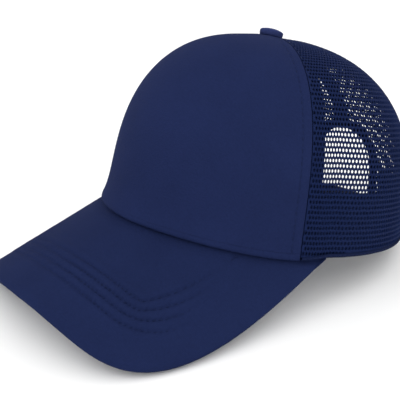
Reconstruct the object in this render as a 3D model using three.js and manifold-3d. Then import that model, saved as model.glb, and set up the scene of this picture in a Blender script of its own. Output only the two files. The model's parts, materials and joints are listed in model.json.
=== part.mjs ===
// Trucker mesh cap: a one-piece foam front, four mesh panels, a curved visor, a covered top button
// and a plastic snap closure under the rear arch.
//
// Millimetres. Inside the cap group, z = 0 is the plane of the rim, the wearer faces -Y and the
// wearer's left is +X. The cap then stands on a table on the two side edges of its visor and on the
// back of its rim, so the whole group is pitched and lifted. The origin is the middle of the
// footprint of the standing cap, at table level, with +Z up.
//
// The crown is described by two numbers: psi, the angle round the head (0 at the front, +90 at the
// wearer's left, 180 at the back), and s, the distance up the crown from the rim. Each layer of
// cloth lies at its own depth below the crown's outer surface.

import * as THREE from 'three';
import { mergeVertices } from 'three/addons/utils/BufferGeometryUtils.js';
import Module from 'manifold-3d';

// ---------------------------------------------------------------- driving dimensions

const RIM_HALF_WIDTH = 92.8;      // head opening, side to side
const RIM_HALF_LENGTH = 97.7;     // head opening, front to back
const RIM_POWER = 1.88;           // 2 is an ellipse, less is slightly pointed front and back
const CROWN_HEIGHT = 108.5;       // button seat above the rim plane
const APEX_Y = -9;                // the top of the crown sits ahead of the middle
const PITCH = -12;                // degrees about X that bring the rim down at the back

// Bulge of the crown's wall in plan (h) and in profile (v), for front, side and back.
const BULGE = {
  front: { h: 2.62, v: 2.45 },
  side: { h: 2.47, v: 2.92 },
  back: { h: 2.11, v: 1.9 },
};
const FRONT_FLARE = 0.06;         // the foam front leans out over the visor at its foot
const FRONT_FLARE_HEIGHT = 8.8;   // and stands upright this far above it

const FRONT_SEAM = 60.1;          // psi of the seam between foam front and side mesh
const SIDE_SEAM = 120;            // psi of the seam between side mesh and back mesh
const SEAM_GAP = 0.2;             // half the gap left between two panels at a seam
const BUTTON_HOLE_RADIUS = 2.6;   // all panels end at this radius round the button's rivet

const FABRIC = { out: 0, in: -1.0 };
const FOAM = { out: -1.5, in: -4.5 };
const TAPE = { out: -1.5, in: -2.3 };
const TAPE_WIDTH = 14;
const TAPE_END_RADIUS = 16;       // tapes stop here, where they would meet under the button
const FOAM_END_RADIUS = 18;

const HEM = { out: 0.4, in: -2.4, height: 2.0 };
const PANEL_FOOT = 2.4;           // mesh starts this far up, above the hem
const FRONT_FABRIC_FOOT = 0.5;    // the front is sewn down to the visor
const FOAM_FOOT = 5;
const FOAM_BESIDE_SEAM = 7.8;     // the foam stops clear of the seam's tape
const TAPE_FOOT = 4;

const SWEATBAND_HEIGHT = 34;
const SWEATBAND_THICKNESS = 1.2;
const SWEATBAND_FOOT = { front: 6.5, side: 0.8 };  // clear of the visor's root at the front
const SWEATBAND_FRONT_DEPTH = 6.5;
const SWEATBAND_SIDE_DEPTH = 3.0;
const SWEATBAND_TURN = { from: 57, to: 78 };  // psi over which it comes out to the mesh
const SWEATBAND_HALF_GAP = 36.5;   // |x| where each end stops, beside the closure
const PAD = { out: -4.9, in: -5.8, reach: 50, foot: 8, top: 30 };
const LABEL = { out: -4.7, in: -5.1, from: 100, to: 109, foot: 5, top: 25 };

const VISOR_END = 69.7;           // psi where the visor's corners meet the rim
const VISOR_REACH = 67.4;         // length along the middle
const VISOR_RADIUS = 122;         // curl across the visor
const VISOR_SLOPE = 27.3;         // degrees down from the rim plane
const VISOR_LIFT = 0.00026;       // slight upward curve towards the front edge, per mm
const VISOR_CORNER_PULL = 112.4;  // handle lengths of the outline's curve, at the corner
const VISOR_FRONT_PULL = 73.8;    // and at the middle of the front edge
const VISOR_SPREAD = 3.6;         // degrees the outline splays outward from its corner
const VISOR_TUCK = 0.5;           // its root is sewn this far inside the rim
const VISOR_SIDE_END = 0.975;     // share of the way to the corner that the covers reach
const VISOR_SIDE_INSET = 0.012;   // and how much less per mm of inset, for the inner layers
const VISOR_LAYERS = {
  visor_top_cover: { out: 0, in: -0.7, inset: 0 },
  visor_foam: { out: -1.0, in: -1.8, inset: 1.2 },
  visor_board: { out: -2.1, in: -3.7, inset: 2.0 },
  visor_bottom_cover: { out: -4.0, in: -4.7, inset: 0 },
};

const ARCH_HALF_WIDTH = 21.7;     // clear opening at the back, inside its binding
const ARCH_TOP = 54.5;
const BINDING = { width: 6.5, wrap: 0.6, gap: 0.7, foot: 1.0 };
const ARCH_PANEL_EDGE = BINDING.wrap + 0.6;  // the mesh's cut edge inside the binding
const CLEARANCE = 0.6;            // between pieces that meet end to end at the back
const BACK_FOOT = 0.5;            // height at which distances across the back are measured

const STRAP = { bottom: 0.5, top: 9.1, thickness: 1.0, flexX: 20.6, rootX: 35 };
const HOLE_STRAP_DEPTH = -3.6;
const STUD_STRAP_DEPTH = -5.0;
const STUD_PITCH = 6.33;
const STUD_COUNT = 4;
const HOLE_COUNT = 6;
const STUD_RADIUS = 1.7;
const HOLE_RADIUS = 2.3;
const STUD_LENGTH = 2.0;
const HOLE_STRAP_TIP = -18.5;     // x where each strap's free end stops
const STUD_STRAP_TIP = 17.5;
const FLEX_GAP = 0.5;             // each side of the line where a strap flexes
const HOLE_OVERCUT = 1;           // the holes' cutters pass this far beyond the strap

const BUTTON_RADIUS = 7.2;
const BUTTON_HEIGHT = 5.0;

// ---------------------------------------------------------------- colours

const NAVY = 0x222d51;
const DARK_NAVY = 0x1b254a;
const materials = {
  front: new THREE.MeshStandardMaterial({ color: NAVY, roughness: 0.85 }),
  foam: new THREE.MeshStandardMaterial({ color: 0x3a4a78, roughness: 0.95 }),
  mesh: new THREE.MeshStandardMaterial({ color: 0x202b50, roughness: 0.7 }),
  tape: new THREE.MeshStandardMaterial({ color: DARK_NAVY, roughness: 0.8 }),
  band: new THREE.MeshStandardMaterial({ color: 0x1f2948, roughness: 0.9 }),
  board: new THREE.MeshStandardMaterial({ color: 0x8c8f94, roughness: 0.6 }),
  strap: new THREE.MeshStandardMaterial({ color: 0x1a2344, roughness: 0.4 }),
  button: new THREE.MeshStandardMaterial({ color: 0x272f52, roughness: 0.8 }),
  steel: new THREE.MeshStandardMaterial({ color: 0xb4b6b8, roughness: 0.35, metalness: 0.9 }),
  label: new THREE.MeshStandardMaterial({ color: 0xe8e8e4, roughness: 0.8 }),
};

// ---------------------------------------------------------------- the crown's surface

const rad = THREE.MathUtils.degToRad;
const lerp = THREE.MathUtils.lerp;
const smooth = THREE.MathUtils.smoothstep;
const vec = (x, y, z) => new THREE.Vector3(x, y, z);

/** Point of the rim's outline in plan. */
function rimPlan(psi) {
  const c = Math.cos(psi);
  const s = Math.sin(psi);
  const k = (Math.abs(c) ** RIM_POWER + Math.abs(s) ** RIM_POWER) ** (-1 / RIM_POWER);
  return new THREE.Vector2(RIM_HALF_WIDTH * s * k, -RIM_HALF_LENGTH * c * k);
}

/** Outward normal of a closed outline in plan. */
function planNormal(outline, psi) {
  const step = 0.002;
  const along = outline(psi + step).sub(outline(psi - step));
  return new THREE.Vector2(along.y, -along.x).normalize();
}

const rimNormal = (psi) => planNormal(rimPlan, psi);

/** Drop of the visor's cylinder at a distance from its middle. */
function curlDrop(x) {
  const reach = Math.min(Math.abs(x), 0.98 * VISOR_RADIUS);
  return VISOR_RADIUS - Math.sqrt(VISOR_RADIUS ** 2 - reach ** 2);
}

/** Height of the visor's top surface: a cylinder whose axis slopes down to the front. */
function visorHeight(x, y) {
  const corner = rimPlan(rad(VISOR_END));
  const slope = Math.tan(rad(VISOR_SLOPE));
  const middle = curlDrop(corner.x) - slope * corner.y;
  const beyondRim = Math.max(-y - RIM_HALF_LENGTH, 0);
  return middle - curlDrop(x) + slope * y + VISOR_LIFT * beyondRim ** 2;
}

/** The crown's foot follows the visor at the front and the rim plane elsewhere. */
function rimHeight(psi) {
  const p = rimPlan(psi);
  return Math.abs(psi) < rad(VISOR_END) ? visorHeight(p.x, p.y) : 0;
}

/** Point of the crown's outer surface; w runs from 0 at the rim to 1 at the apex. */
function crownPoint(psi, w) {
  const c = Math.cos(psi);
  const front = Math.max(c, 0) ** 2;
  const back = Math.max(-c, 0) ** 2;
  const side = 1 - front - back;
  const h = BULGE.front.h * front + BULGE.back.h * back + BULGE.side.h * side;
  const v = BULGE.front.v * front + BULGE.back.v * back + BULGE.side.v * side;
  const angle = w * Math.PI / 2;
  const inward = Math.max(Math.cos(angle), 0) ** (2 / h);
  const foot = rimHeight(psi);
  const rise = (CROWN_HEIGHT - foot) * Math.sin(angle) ** (2 / v);
  const flare = 1 + FRONT_FLARE * Math.exp(-rise / FRONT_FLARE_HEIGHT) * Math.max(c, 0);
  const p = rimPlan(psi);
  return vec(
    p.x * inward * flare,
    p.y * inward * flare + APEX_Y * (1 - inward),
    foot + rise,
  );
}

/** Foot of the crown in plan, with its flare. */
function crownFoot(psi) {
  const p = crownPoint(psi, 0);
  return new THREE.Vector2(p.x, p.y);
}

/** Outward normal of the crown. */
function crownNormal(psi, w) {
  const step = 0.0015;
  const low = Math.max(w - step, 1e-5);
  const high = Math.min(w + step, 1 - 1e-5);
  const round = crownPoint(psi + step, w).sub(crownPoint(psi - step, w));
  const up = crownPoint(psi, high).sub(crownPoint(psi, low));
  return round.cross(up).normalize();
}

/** Lengths along one meridian from the rim, as a table of [w, length]. */
function meridian(psi) {
  const steps = 160;
  const table = [{ w: 0, length: 0 }];
  let last = crownPoint(psi, 0);
  for (let i = 1; i <= steps; i++) {
    const w = (1 - Math.cos(Math.PI * i / steps)) / 2;
    const next = crownPoint(psi, w);
    table.push({ w, length: table[i - 1].length + next.distanceTo(last) });
    last = next;
  }
  return table;
}

const meridianLength = (psi) => meridian(psi).at(-1).length;

/** The value of w at a distance s up the meridian. */
function wAtLength(psi, s) {
  const table = meridian(psi);
  const i = Math.max(table.findIndex((row) => row.length >= s), 1);
  const a = table[i - 1];
  const b = table[i];
  return lerp(a.w, b.w, (s - a.length) / (b.length - a.length));
}

/** Point at psi and s, moved along the normal by depth (negative is inward). */
function onCrown(psi, s, depth) {
  const w = wAtLength(psi, s);
  return crownPoint(psi, w).addScaledVector(crownNormal(psi, w), depth);
}

/** Distance of the crown from the button's axis at psi and s. */
function radiusAt(psi, s) {
  const p = crownPoint(psi, wAtLength(psi, s));
  return Math.hypot(p.x, p.y - APEX_Y);
}

/** s at which a meridian comes within a radius of the button's axis. */
function lengthAtRadius(psi, radius) {
  return meridianLength(psi) - radius;
}

/** psi and s of the crown at a place seen from behind, on the wearer's left. */
function fromBehind(x, z) {
  let low = Math.PI / 2;
  let high = Math.PI;
  let w = 0;
  for (let i = 0; i < 40; i++) {
    const psi = (low + high) / 2;
    let a = 0;
    let b = 1;
    for (let j = 0; j < 30; j++) {
      w = (a + b) / 2;
      if (crownPoint(psi, w).z < z) a = w;
      else b = w;
    }
    if (crownPoint(psi, w).x > x) low = psi;
    else high = psi;
  }
  const psi = (low + high) / 2;
  const table = meridian(psi);
  const i = Math.max(table.findIndex((row) => row.w >= w), 1);
  const share = (w - table[i - 1].w) / (table[i].w - table[i - 1].w);
  return { psi, s: lerp(table[i - 1].length, table[i].length, share) };
}

// ---------------------------------------------------------------- closed solids

/** Closed solid between two grids of points, grid[i][j], whose i then j turn outward. */
function gridSolid(outer, inner) {
  const columns = outer.length - 1;
  const rows = outer[0].length - 1;
  const points = [...outer.flat(), ...inner.flat()];
  const at = (layer, i, j) => (layer * (columns + 1) + i) * (rows + 1) + j;
  const index = [];
  const quad = (a, b, c, d) => index.push(a, b, c, a, c, d);
  for (let i = 0; i < columns; i++) {
    for (let j = 0; j < rows; j++) {
      quad(at(0, i, j), at(0, i + 1, j), at(0, i + 1, j + 1), at(0, i, j + 1));
      quad(at(1, i, j), at(1, i, j + 1), at(1, i + 1, j + 1), at(1, i + 1, j));
    }
    quad(at(0, i + 1, 0), at(0, i, 0), at(1, i, 0), at(1, i + 1, 0));
    quad(at(0, i, rows), at(0, i + 1, rows), at(1, i + 1, rows), at(1, i, rows));
  }
  for (let j = 0; j < rows; j++) {
    quad(at(0, 0, j), at(0, 0, j + 1), at(1, 0, j + 1), at(1, 0, j));
    quad(at(0, columns, j + 1), at(0, columns, j), at(1, columns, j), at(1, columns, j + 1));
  }
  return new THREE.BufferGeometry().setFromPoints(points).setIndex(index);
}

/** Shell of the crown. place(u, v) gives psi and s, and depth(psi) the two depths. */
function crownShell(columns, rows, place, depth) {
  const layer = (side) => Array.from({ length: columns + 1 }, (_, i) =>
    Array.from({ length: rows + 1 }, (_, j) => {
      const { psi, s } = place(i / columns, j / rows);
      return onCrown(psi, s, depth(psi)[side]);
    }));
  return gridSolid(layer('out'), layer('in'));
}

/** The same solid on the other side of the cap. */
function mirrored(geometry) {
  const copy = geometry.clone().scale(-1, 1, 1);
  const index = Array.from(copy.index.array);
  for (let i = 0; i < index.length; i += 3) {
    [index[i], index[i + 1]] = [index[i + 1], index[i]];
  }
  return copy.setIndex(index);
}

/** Solid swept along a path of frames, each of which places the section's points. */
function sweptSolid(section, frames) {
  const sides = section.length;
  const points = frames.flatMap((place) => section.map(([a, b]) => place(a, b)));
  const index = [];
  for (let i = 0; i + 1 < frames.length; i++) {
    for (let k = 0; k < sides; k++) {
      const next = (k + 1) % sides;
      const a = i * sides + k;
      const b = i * sides + next;
      index.push(a, b, b + sides, a, b + sides, a + sides);
    }
  }
  const outline = section.map(([a, b]) => new THREE.Vector2(a, b));
  const end = (frames.length - 1) * sides;
  for (const [a, b, c] of THREE.ShapeUtils.triangulateShape(outline, [])) {
    index.push(a, c, b);
    index.push(end + a, end + b, end + c);
  }
  return new THREE.BufferGeometry().setFromPoints(points).setIndex(index);
}

// ---------------------------------------------------------------- crown panels, tapes, hem

/** psi of a line that keeps a distance in mm from a seam, at s up the crown. */
function besideSeam(seam, mm, s) {
  return rad(seam) + mm / Math.max(radiusAt(rad(seam), s), BUTTON_HOLE_RADIUS);
}

/** Panel or lining between two seams, with its edges at a distance from each. */
function panel({ from, to, fromGap, toGap, foot, endRadius, layer, columns, rows }) {
  const place = (u, v) => {
    const seamS = (seam) => lerp(foot, lengthAtRadius(rad(seam), endRadius), v);
    const a = besideSeam(from, fromGap, seamS(from));
    const b = besideSeam(to, -toGap, seamS(to));
    const psi = lerp(a, b, u);
    return { psi, s: lerp(foot, lengthAtRadius(psi, endRadius), v) };
  };
  return crownShell(columns, rows, place, () => layer);
}

function frontPanelFabric() {
  return panel({
    from: -FRONT_SEAM, to: FRONT_SEAM, fromGap: SEAM_GAP, toGap: SEAM_GAP,
    foot: FRONT_FABRIC_FOOT, endRadius: BUTTON_HOLE_RADIUS, layer: FABRIC, columns: 20, rows: 13,
  });
}

function frontPanelFoam() {
  return panel({
    from: -FRONT_SEAM, to: FRONT_SEAM, fromGap: FOAM_BESIDE_SEAM, toGap: FOAM_BESIDE_SEAM,
    foot: FOAM_FOOT, endRadius: FOAM_END_RADIUS, layer: FOAM, columns: 18, rows: 11,
  });
}

function sideMeshPanel() {
  return panel({
    from: FRONT_SEAM, to: SIDE_SEAM, fromGap: SEAM_GAP, toGap: SEAM_GAP,
    foot: PANEL_FOOT, endRadius: BUTTON_HOLE_RADIUS, layer: FABRIC, columns: 9, rows: 13,
  });
}

/** Point of the arch's outline as seen from behind; a runs from the foot to the top. */
function archOutline(a, grow) {
  const radius = ARCH_HALF_WIDTH + grow;
  const springLine = ARCH_TOP - ARCH_HALF_WIDTH;
  const straight = springLine - BINDING.foot;
  const total = straight + radius * Math.PI / 2;
  const run = a * total;
  if (run < straight) return { x: radius, z: BINDING.foot + run };
  const turn = (run - straight) / radius;
  return { x: radius * Math.cos(turn), z: springLine + radius * Math.sin(turn) };
}

/** Back panel: its foot runs along the hem, then up round the arch to the back seam. */
function backMeshPanel() {
  const hemColumns = 6;
  const archColumns = 9;
  const rows = 12;
  const columns = hemColumns + archColumns;
  const firstPsi = besideSeam(SIDE_SEAM, SEAM_GAP, PANEL_FOOT);
  const lowest = 0.03;
  const archEdge = Array.from({ length: archColumns }, (_, i) => {
    const { x, z } = archOutline(lerp(lowest, 1, i / (archColumns - 1)), ARCH_PANEL_EDGE);
    return fromBehind(Math.max(x, SEAM_GAP), z);
  });
  const archFoot = { psi: archEdge[0].psi, s: PANEL_FOOT };
  const foot = Array.from({ length: hemColumns + 1 }, (_, i) => ({
    psi: lerp(firstPsi, archFoot.psi, i / hemColumns),
    s: PANEL_FOOT,
  }));
  foot.push(...archEdge);
  const place = (u, v) => {
    const base = foot[Math.round(u * columns)];
    const top = rad(lerp(SIDE_SEAM, 180, u));
    const edge = SEAM_GAP / BUTTON_HOLE_RADIUS * (1 - 2 * u);
    const psiTop = top + edge;
    const share = base.s / meridianLength(base.psi);
    const shareTop = lengthAtRadius(psiTop, BUTTON_HOLE_RADIUS) / meridianLength(psiTop);
    const t = lerp(share, shareTop, v);
    let psi = lerp(base.psi, psiTop, v);
    if (u === 0) psi = besideSeam(SIDE_SEAM, SEAM_GAP, t * meridianLength(rad(SIDE_SEAM)));
    if (u === 1) psi = besideSeam(180, -SEAM_GAP, t * meridianLength(Math.PI));
    return { psi, s: t * meridianLength(psi) };
  };
  return crownShell(columns, rows, place, () => FABRIC);
}

/** Tape over the inside of a seam, from a height up to the circle under the button. */
function seamTape(seam, foot) {
  const place = (u, v) => {
    const s = lerp(foot, lengthAtRadius(rad(seam), TAPE_END_RADIUS), v);
    return { psi: besideSeam(seam, (u - 0.5) * TAPE_WIDTH, s), s };
  };
  return crownShell(2, 13, place, () => TAPE);
}

/** Folded hem under the mesh, flat underneath, from the visor's corner to the arch. */
function rimHem() {
  const columns = 18;
  const end = backPsi(ARCH_HALF_WIDTH + BINDING.width + CLEARANCE);
  const start = rad(VISOR_END + CLEARANCE);
  const face = (offset) => Array.from({ length: columns + 1 }, (_, i) => {
    const psi = lerp(start, end, i / columns);
    const p = crownFoot(psi).addScaledVector(planNormal(crownFoot, psi), offset);
    return [vec(p.x, p.y, 0), vec(p.x, p.y, HEM.height)];
  });
  return gridSolid(face(HEM.out), face(HEM.in));
}

// ---------------------------------------------------------------- sweatband and label

/** The band lies behind the foam at the front and close to the mesh elsewhere. */
function sweatbandDepth(psi) {
  const share = smooth(Math.abs(psi), rad(SWEATBAND_TURN.from), rad(SWEATBAND_TURN.to));
  const out = -lerp(SWEATBAND_FRONT_DEPTH, SWEATBAND_SIDE_DEPTH, share);
  return { out, in: out - SWEATBAND_THICKNESS };
}

function sweatband() {
  const end = backPsi(SWEATBAND_HALF_GAP);
  const place = (u, v) => {
    const psi = lerp(-end, end, u);
    const foot = lerp(SWEATBAND_FOOT.side, SWEATBAND_FOOT.front, Math.max(Math.cos(psi), 0));
    return { psi, s: lerp(foot, SWEATBAND_HEIGHT, v) };
  };
  return crownShell(52, 3, place, sweatbandDepth);
}

function sweatbandPad() {
  const reach = rad(PAD.reach);
  const place = (u, v) => ({ psi: lerp(-reach, reach, u), s: lerp(PAD.foot, PAD.top, v) });
  return crownShell(18, 3, place, () => PAD);
}

function careLabel() {
  const place = (u, v) => ({
    psi: rad(lerp(LABEL.from, LABEL.to, u)), s: lerp(LABEL.foot, LABEL.top, v),
  });
  return crownShell(2, 3, place, () => LABEL);
}

// ---------------------------------------------------------------- visor

/** Half of the visor's outer edge: a cubic from the middle of the front to the corner. */
function visorEdge() {
  const corner = rimPlan(rad(VISOR_END));
  const spread = rad(VISOR_SPREAD);
  const front = vec(0, -RIM_HALF_LENGTH - VISOR_REACH, 0);
  return new THREE.CubicBezierCurve3(
    front,
    vec(VISOR_FRONT_PULL, front.y, 0),
    vec(corner.x + VISOR_CORNER_PULL * Math.sin(spread),
      corner.y - VISOR_CORNER_PULL * Math.cos(spread), 0),
    vec(corner.x, corner.y, 0),
  );
}

const VISOR_EDGE = visorEdge();

/** Point of the visor, moved along its normal: side from -1 to 1, out from 0 at the rim to 1. */
function onVisor(side, out, inset, depth) {
  const psi = side * rad(VISOR_END);
  const root = rimPlan(psi).addScaledVector(rimNormal(psi), -VISOR_TUCK);
  const tip = VISOR_EDGE.getPoint(Math.abs(side));
  const reach = new THREE.Vector2(tip.x * Math.sign(side || 1), tip.y).sub(root);
  const share = out * Math.max(1 - inset / reach.length(), 0.2);
  const x = root.x + reach.x * share;
  const y = root.y + reach.y * share;
  const step = 0.05;
  const slopeX = (visorHeight(x + step, y) - visorHeight(x - step, y)) / (2 * step);
  const slopeY = (visorHeight(x, y + step) - visorHeight(x, y - step)) / (2 * step);
  const normal = vec(-slopeX, -slopeY, 1).normalize();
  return vec(x, y, visorHeight(x, y)).addScaledVector(normal, depth);
}

function visorLayer({ out, in: inner, inset }) {
  const columns = 26;
  const rows = 5;
  const end = VISOR_SIDE_END - VISOR_SIDE_INSET * inset;
  const face = (depth) => Array.from({ length: columns + 1 }, (_, i) =>
    Array.from({ length: rows + 1 }, (_, j) =>
      onVisor(lerp(end, -end, i / columns), j / rows, inset, depth)));
  return gridSolid(face(out), face(inner));
}

// ---------------------------------------------------------------- rear arch and closure

/** U-shaped binding folded over the cut edge of the back panels, round the arch. */
function archBinding() {
  const steps = 13;
  const { width, wrap, gap } = BINDING;
  const outside = gap + wrap;
  const inside = FABRIC.in - gap;
  const section = [
    [0, outside], [0, inside - wrap], [width, inside - wrap], [width, inside],
    [wrap, inside], [wrap, gap], [width, gap], [width, outside],
  ];
  const half = Array.from({ length: steps + 1 }, (_, i) => {
    const edge = archOutline(i / steps, 0);
    const away = archOutline(i / steps, 1);
    const base = fromBehind(Math.max(edge.x, 0.001), edge.z);
    const point = onCrown(base.psi, base.s, 0);
    const normal = crownNormal(base.psi, wAtLength(base.psi, base.s));
    const beside = vec(away.x - edge.x, 0, away.z - edge.z);
    if (i === 0) beside.z = 0;
    beside.addScaledVector(normal, -beside.dot(normal)).normalize();
    return { point, normal, beside };
  });
  half[steps].point.x = 0;
  half[steps].normal.x = 0;
  half[steps].beside.x = 0;
  const flip = (v) => vec(-v.x, v.y, v.z);
  const otherHalf = half.slice(0, -1).reverse().map(({ point, normal, beside }) => (
    { point: flip(point), normal: flip(normal), beside: flip(beside) }));
  const frames = [...half, ...otherHalf].map(({ point, normal, beside }) => (a, b) =>
    point.clone().addScaledVector(beside, a).addScaledVector(normal, b));
  return sweptSolid(section, frames);
}

/** psi of the rim at a signed distance x from the middle of the back. */
function backPsi(x) {
  const psi = fromBehind(Math.abs(x), BACK_FOOT).psi;
  return x >= 0 ? psi : 2 * Math.PI - psi;
}

/** Upright strip of strap between two distances from the middle of the back. */
function strapStrip(fromX, toX, depth, columns) {
  const high = Math.max(fromX, toX);
  const low = Math.min(fromX, toX);
  const face = (offset) => Array.from({ length: columns + 1 }, (_, i) => {
    const psi = backPsi(lerp(high, low, i / columns));
    const p = rimPlan(psi).addScaledVector(rimNormal(psi), offset);
    return [vec(p.x, p.y, STRAP.bottom), vec(p.x, p.y, STRAP.top)];
  });
  return gridSolid(face(depth), face(depth - STRAP.thickness));
}

/** Round post across the strap at x, between two depths. */
function strapPost(x, outDepth, inDepth, radius, sides) {
  const psi = backPsi(x);
  const normal = rimNormal(psi);
  const centre = rimPlan(psi).addScaledVector(normal, (outDepth + inDepth) / 2);
  const post = new THREE.CylinderGeometry(radius, radius, outDepth - inDepth, sides);
  const turn = new THREE.Quaternion().setFromUnitVectors(vec(0, 1, 0), vec(normal.x, normal.y, 0));
  return post.applyQuaternion(turn)
    .translate(centre.x, centre.y, (STRAP.bottom + STRAP.top) / 2);
}

const wasm = await Module();
wasm.setup();

/** Closed three.js geometry as a solid that can be cut and joined. */
function toSolid(geometry) {
  const bare = geometry.clone();
  bare.deleteAttribute('normal');
  bare.deleteAttribute('uv');
  const merged = mergeVertices(bare, 1e-4);
  return new wasm.Manifold(new wasm.Mesh({
    numProp: 3,
    vertProperties: new Float32Array(merged.attributes.position.array),
    triVerts: new Uint32Array(merged.index.array),
  }));
}

function toGeometry(solid) {
  const { vertProperties, triVerts } = solid.getMesh();
  const geometry = new THREE.BufferGeometry();
  geometry.setAttribute('position', new THREE.BufferAttribute(new Float32Array(vertProperties), 3));
  return geometry.setIndex(Array.from(triVerts));
}

/** Distances from the middle of the back for a row of studs or holes. */
function rowAlongStrap(count) {
  return Array.from({ length: count }, (_, i) => (i - (count - 1) / 2) * STUD_PITCH);
}

/** Outer strap, flexing at the wearer's left, with a row of round holes. */
function holeStrap() {
  const strip = strapStrip(STRAP.flexX - FLEX_GAP, HOLE_STRAP_TIP, HOLE_STRAP_DEPTH, 13);
  const out = HOLE_STRAP_DEPTH + HOLE_OVERCUT;
  const inn = HOLE_STRAP_DEPTH - STRAP.thickness - HOLE_OVERCUT;
  return toGeometry(rowAlongStrap(HOLE_COUNT).reduce(
    (solid, x) => solid.subtract(toSolid(strapPost(x, out, inn, HOLE_RADIUS, 14))),
    toSolid(strip),
  ));
}

/** Inner strap, flexing at the wearer's right, with studs that point outward. */
function studStrap() {
  const strip = strapStrip(STUD_STRAP_TIP, -STRAP.flexX + FLEX_GAP, STUD_STRAP_DEPTH, 13);
  const out = STUD_STRAP_DEPTH + STUD_LENGTH;
  const inn = STUD_STRAP_DEPTH - STRAP.thickness / 2;
  return toGeometry(rowAlongStrap(STUD_COUNT).reduce(
    (solid, x) => solid.add(toSolid(strapPost(x, out, inn, STUD_RADIUS, 12))),
    toSolid(strip),
  ));
}

// ---------------------------------------------------------------- button

/** Lathe of a profile of [radius, height] that starts and ends on the axis or closes. */
function turned(profile, sides) {
  const points = profile.map(([r, z]) => new THREE.Vector2(r, z));
  return new THREE.LatheGeometry(points, sides).rotateX(Math.PI / 2)
    .translate(0, APEX_Y, CROWN_HEIGHT);
}

/** Quarter-round dome line from the axis down to a rim: a few points of a profile. */
function domeLine(radius, top, corner, bottom, steps) {
  const line = [[0, top]];
  for (let i = 0; i <= steps; i++) {
    const turn = (1 - i / steps) * Math.PI / 2;
    line.push([radius - corner + corner * Math.cos(turn), top - corner + corner * Math.sin(turn)]);
  }
  line.push([radius, bottom]);
  return line;
}

function buttonCover() {
  const outer = domeLine(BUTTON_RADIUS, BUTTON_HEIGHT, 2.4, 0.5, 4);
  const inner = domeLine(BUTTON_RADIUS - 0.7, BUTTON_HEIGHT - 0.7, 1.8, 0.5, 3);
  return turned([...outer, ...inner.reverse()].reverse(), 24);
}

function buttonShell() {
  const outer = domeLine(BUTTON_RADIUS - 1.0, BUTTON_HEIGHT - 1.0, 1.6, 0.6, 3);
  const inner = domeLine(BUTTON_RADIUS - 1.7, BUTTON_HEIGHT - 1.7, 1.1, 0.6, 2);
  return turned([...outer, ...inner.reverse()].reverse(), 20);
}

function buttonRivet() {
  const profile = [
    [0, 3.0], [4.0, 3.0], [4.0, 2.2], [1.6, 2.2], [1.6, -3.0], [3.4, -3.0], [3.4, -3.8], [0, -3.8],
  ];
  return turned([...profile].reverse(), 16);
}

function buttonWasher() {
  const profile = [[2.1, -1.7], [8.0, -1.7], [8.0, -2.6], [2.1, -2.6], [2.1, -1.7]];
  return turned([...profile].reverse(), 20);
}

// ---------------------------------------------------------------- assembly

function part(name, geometry, material) {
  const mesh = new THREE.Mesh(geometry, material);
  mesh.name = name;
  return mesh;
}

/** A piece and its mirror image. */
function pair(name, geometry, material) {
  return [
    part(`${name}_left`, geometry, material),
    part(`${name}_right`, mirrored(geometry), material.clone()),
  ];
}

const cap = new THREE.Group();
cap.add(
  part('front_panel_fabric', frontPanelFabric(), materials.front),
  part('front_panel_foam', frontPanelFoam(), materials.foam),
  ...pair('side_mesh_panel', sideMeshPanel(), materials.mesh),
  ...pair('back_mesh_panel', backMeshPanel(), materials.mesh.clone()),
  ...pair('seam_tape_front', seamTape(FRONT_SEAM, TAPE_FOOT), materials.tape),
  ...pair('seam_tape_side', seamTape(SIDE_SEAM, TAPE_FOOT), materials.tape.clone()),
  part('seam_tape_back', seamTape(180, fromBehind(0.01, ARCH_TOP + BINDING.width + 1).s),
    materials.tape.clone()),
  ...pair('rim_hem', rimHem(), materials.tape.clone()),
  part('sweatband', sweatband(), materials.band),
  part('sweatband_pad', sweatbandPad(), materials.foam.clone()),
  part('care_label', careLabel(), materials.label),
  part('arch_binding', archBinding(), materials.tape.clone()),
  part('hole_strap', holeStrap(), materials.strap),
  part('stud_strap', studStrap(), materials.strap.clone()),
  part('hole_strap_tab', strapStrip(STRAP.flexX + CLEARANCE, STRAP.rootX, HOLE_STRAP_DEPTH, 4),
    materials.strap.clone()),
  part('stud_strap_tab', strapStrip(-STRAP.flexX - CLEARANCE, -STRAP.rootX, STUD_STRAP_DEPTH, 4),
    materials.strap.clone()),
  part('button_cover', buttonCover(), materials.button),
  part('button_shell', buttonShell(), materials.steel),
  part('button_rivet', buttonRivet(), materials.steel.clone()),
  part('button_washer', buttonWasher(), materials.steel.clone()),
);
const layerMaterials = {
  visor_top_cover: materials.front, visor_foam: materials.foam,
  visor_board: materials.board, visor_bottom_cover: materials.band,
};
for (const [name, layer] of Object.entries(VISOR_LAYERS)) {
  cap.add(part(name, visorLayer(layer), layerMaterials[name].clone()));
}
cap.rotation.x = rad(PITCH);

// Stand the pitched cap on the table, centred on its footprint.
const group = new THREE.Group();
group.add(cap);
group.updateMatrixWorld(true);
const box = new THREE.Box3().setFromObject(cap, true);
cap.position.set(0, -(box.min.y + box.max.y) / 2, -box.min.z);

export default group;
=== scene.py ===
import json
import math

import bmesh
import bpy
import numpy as np
from mathutils import Matrix, Vector


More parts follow.
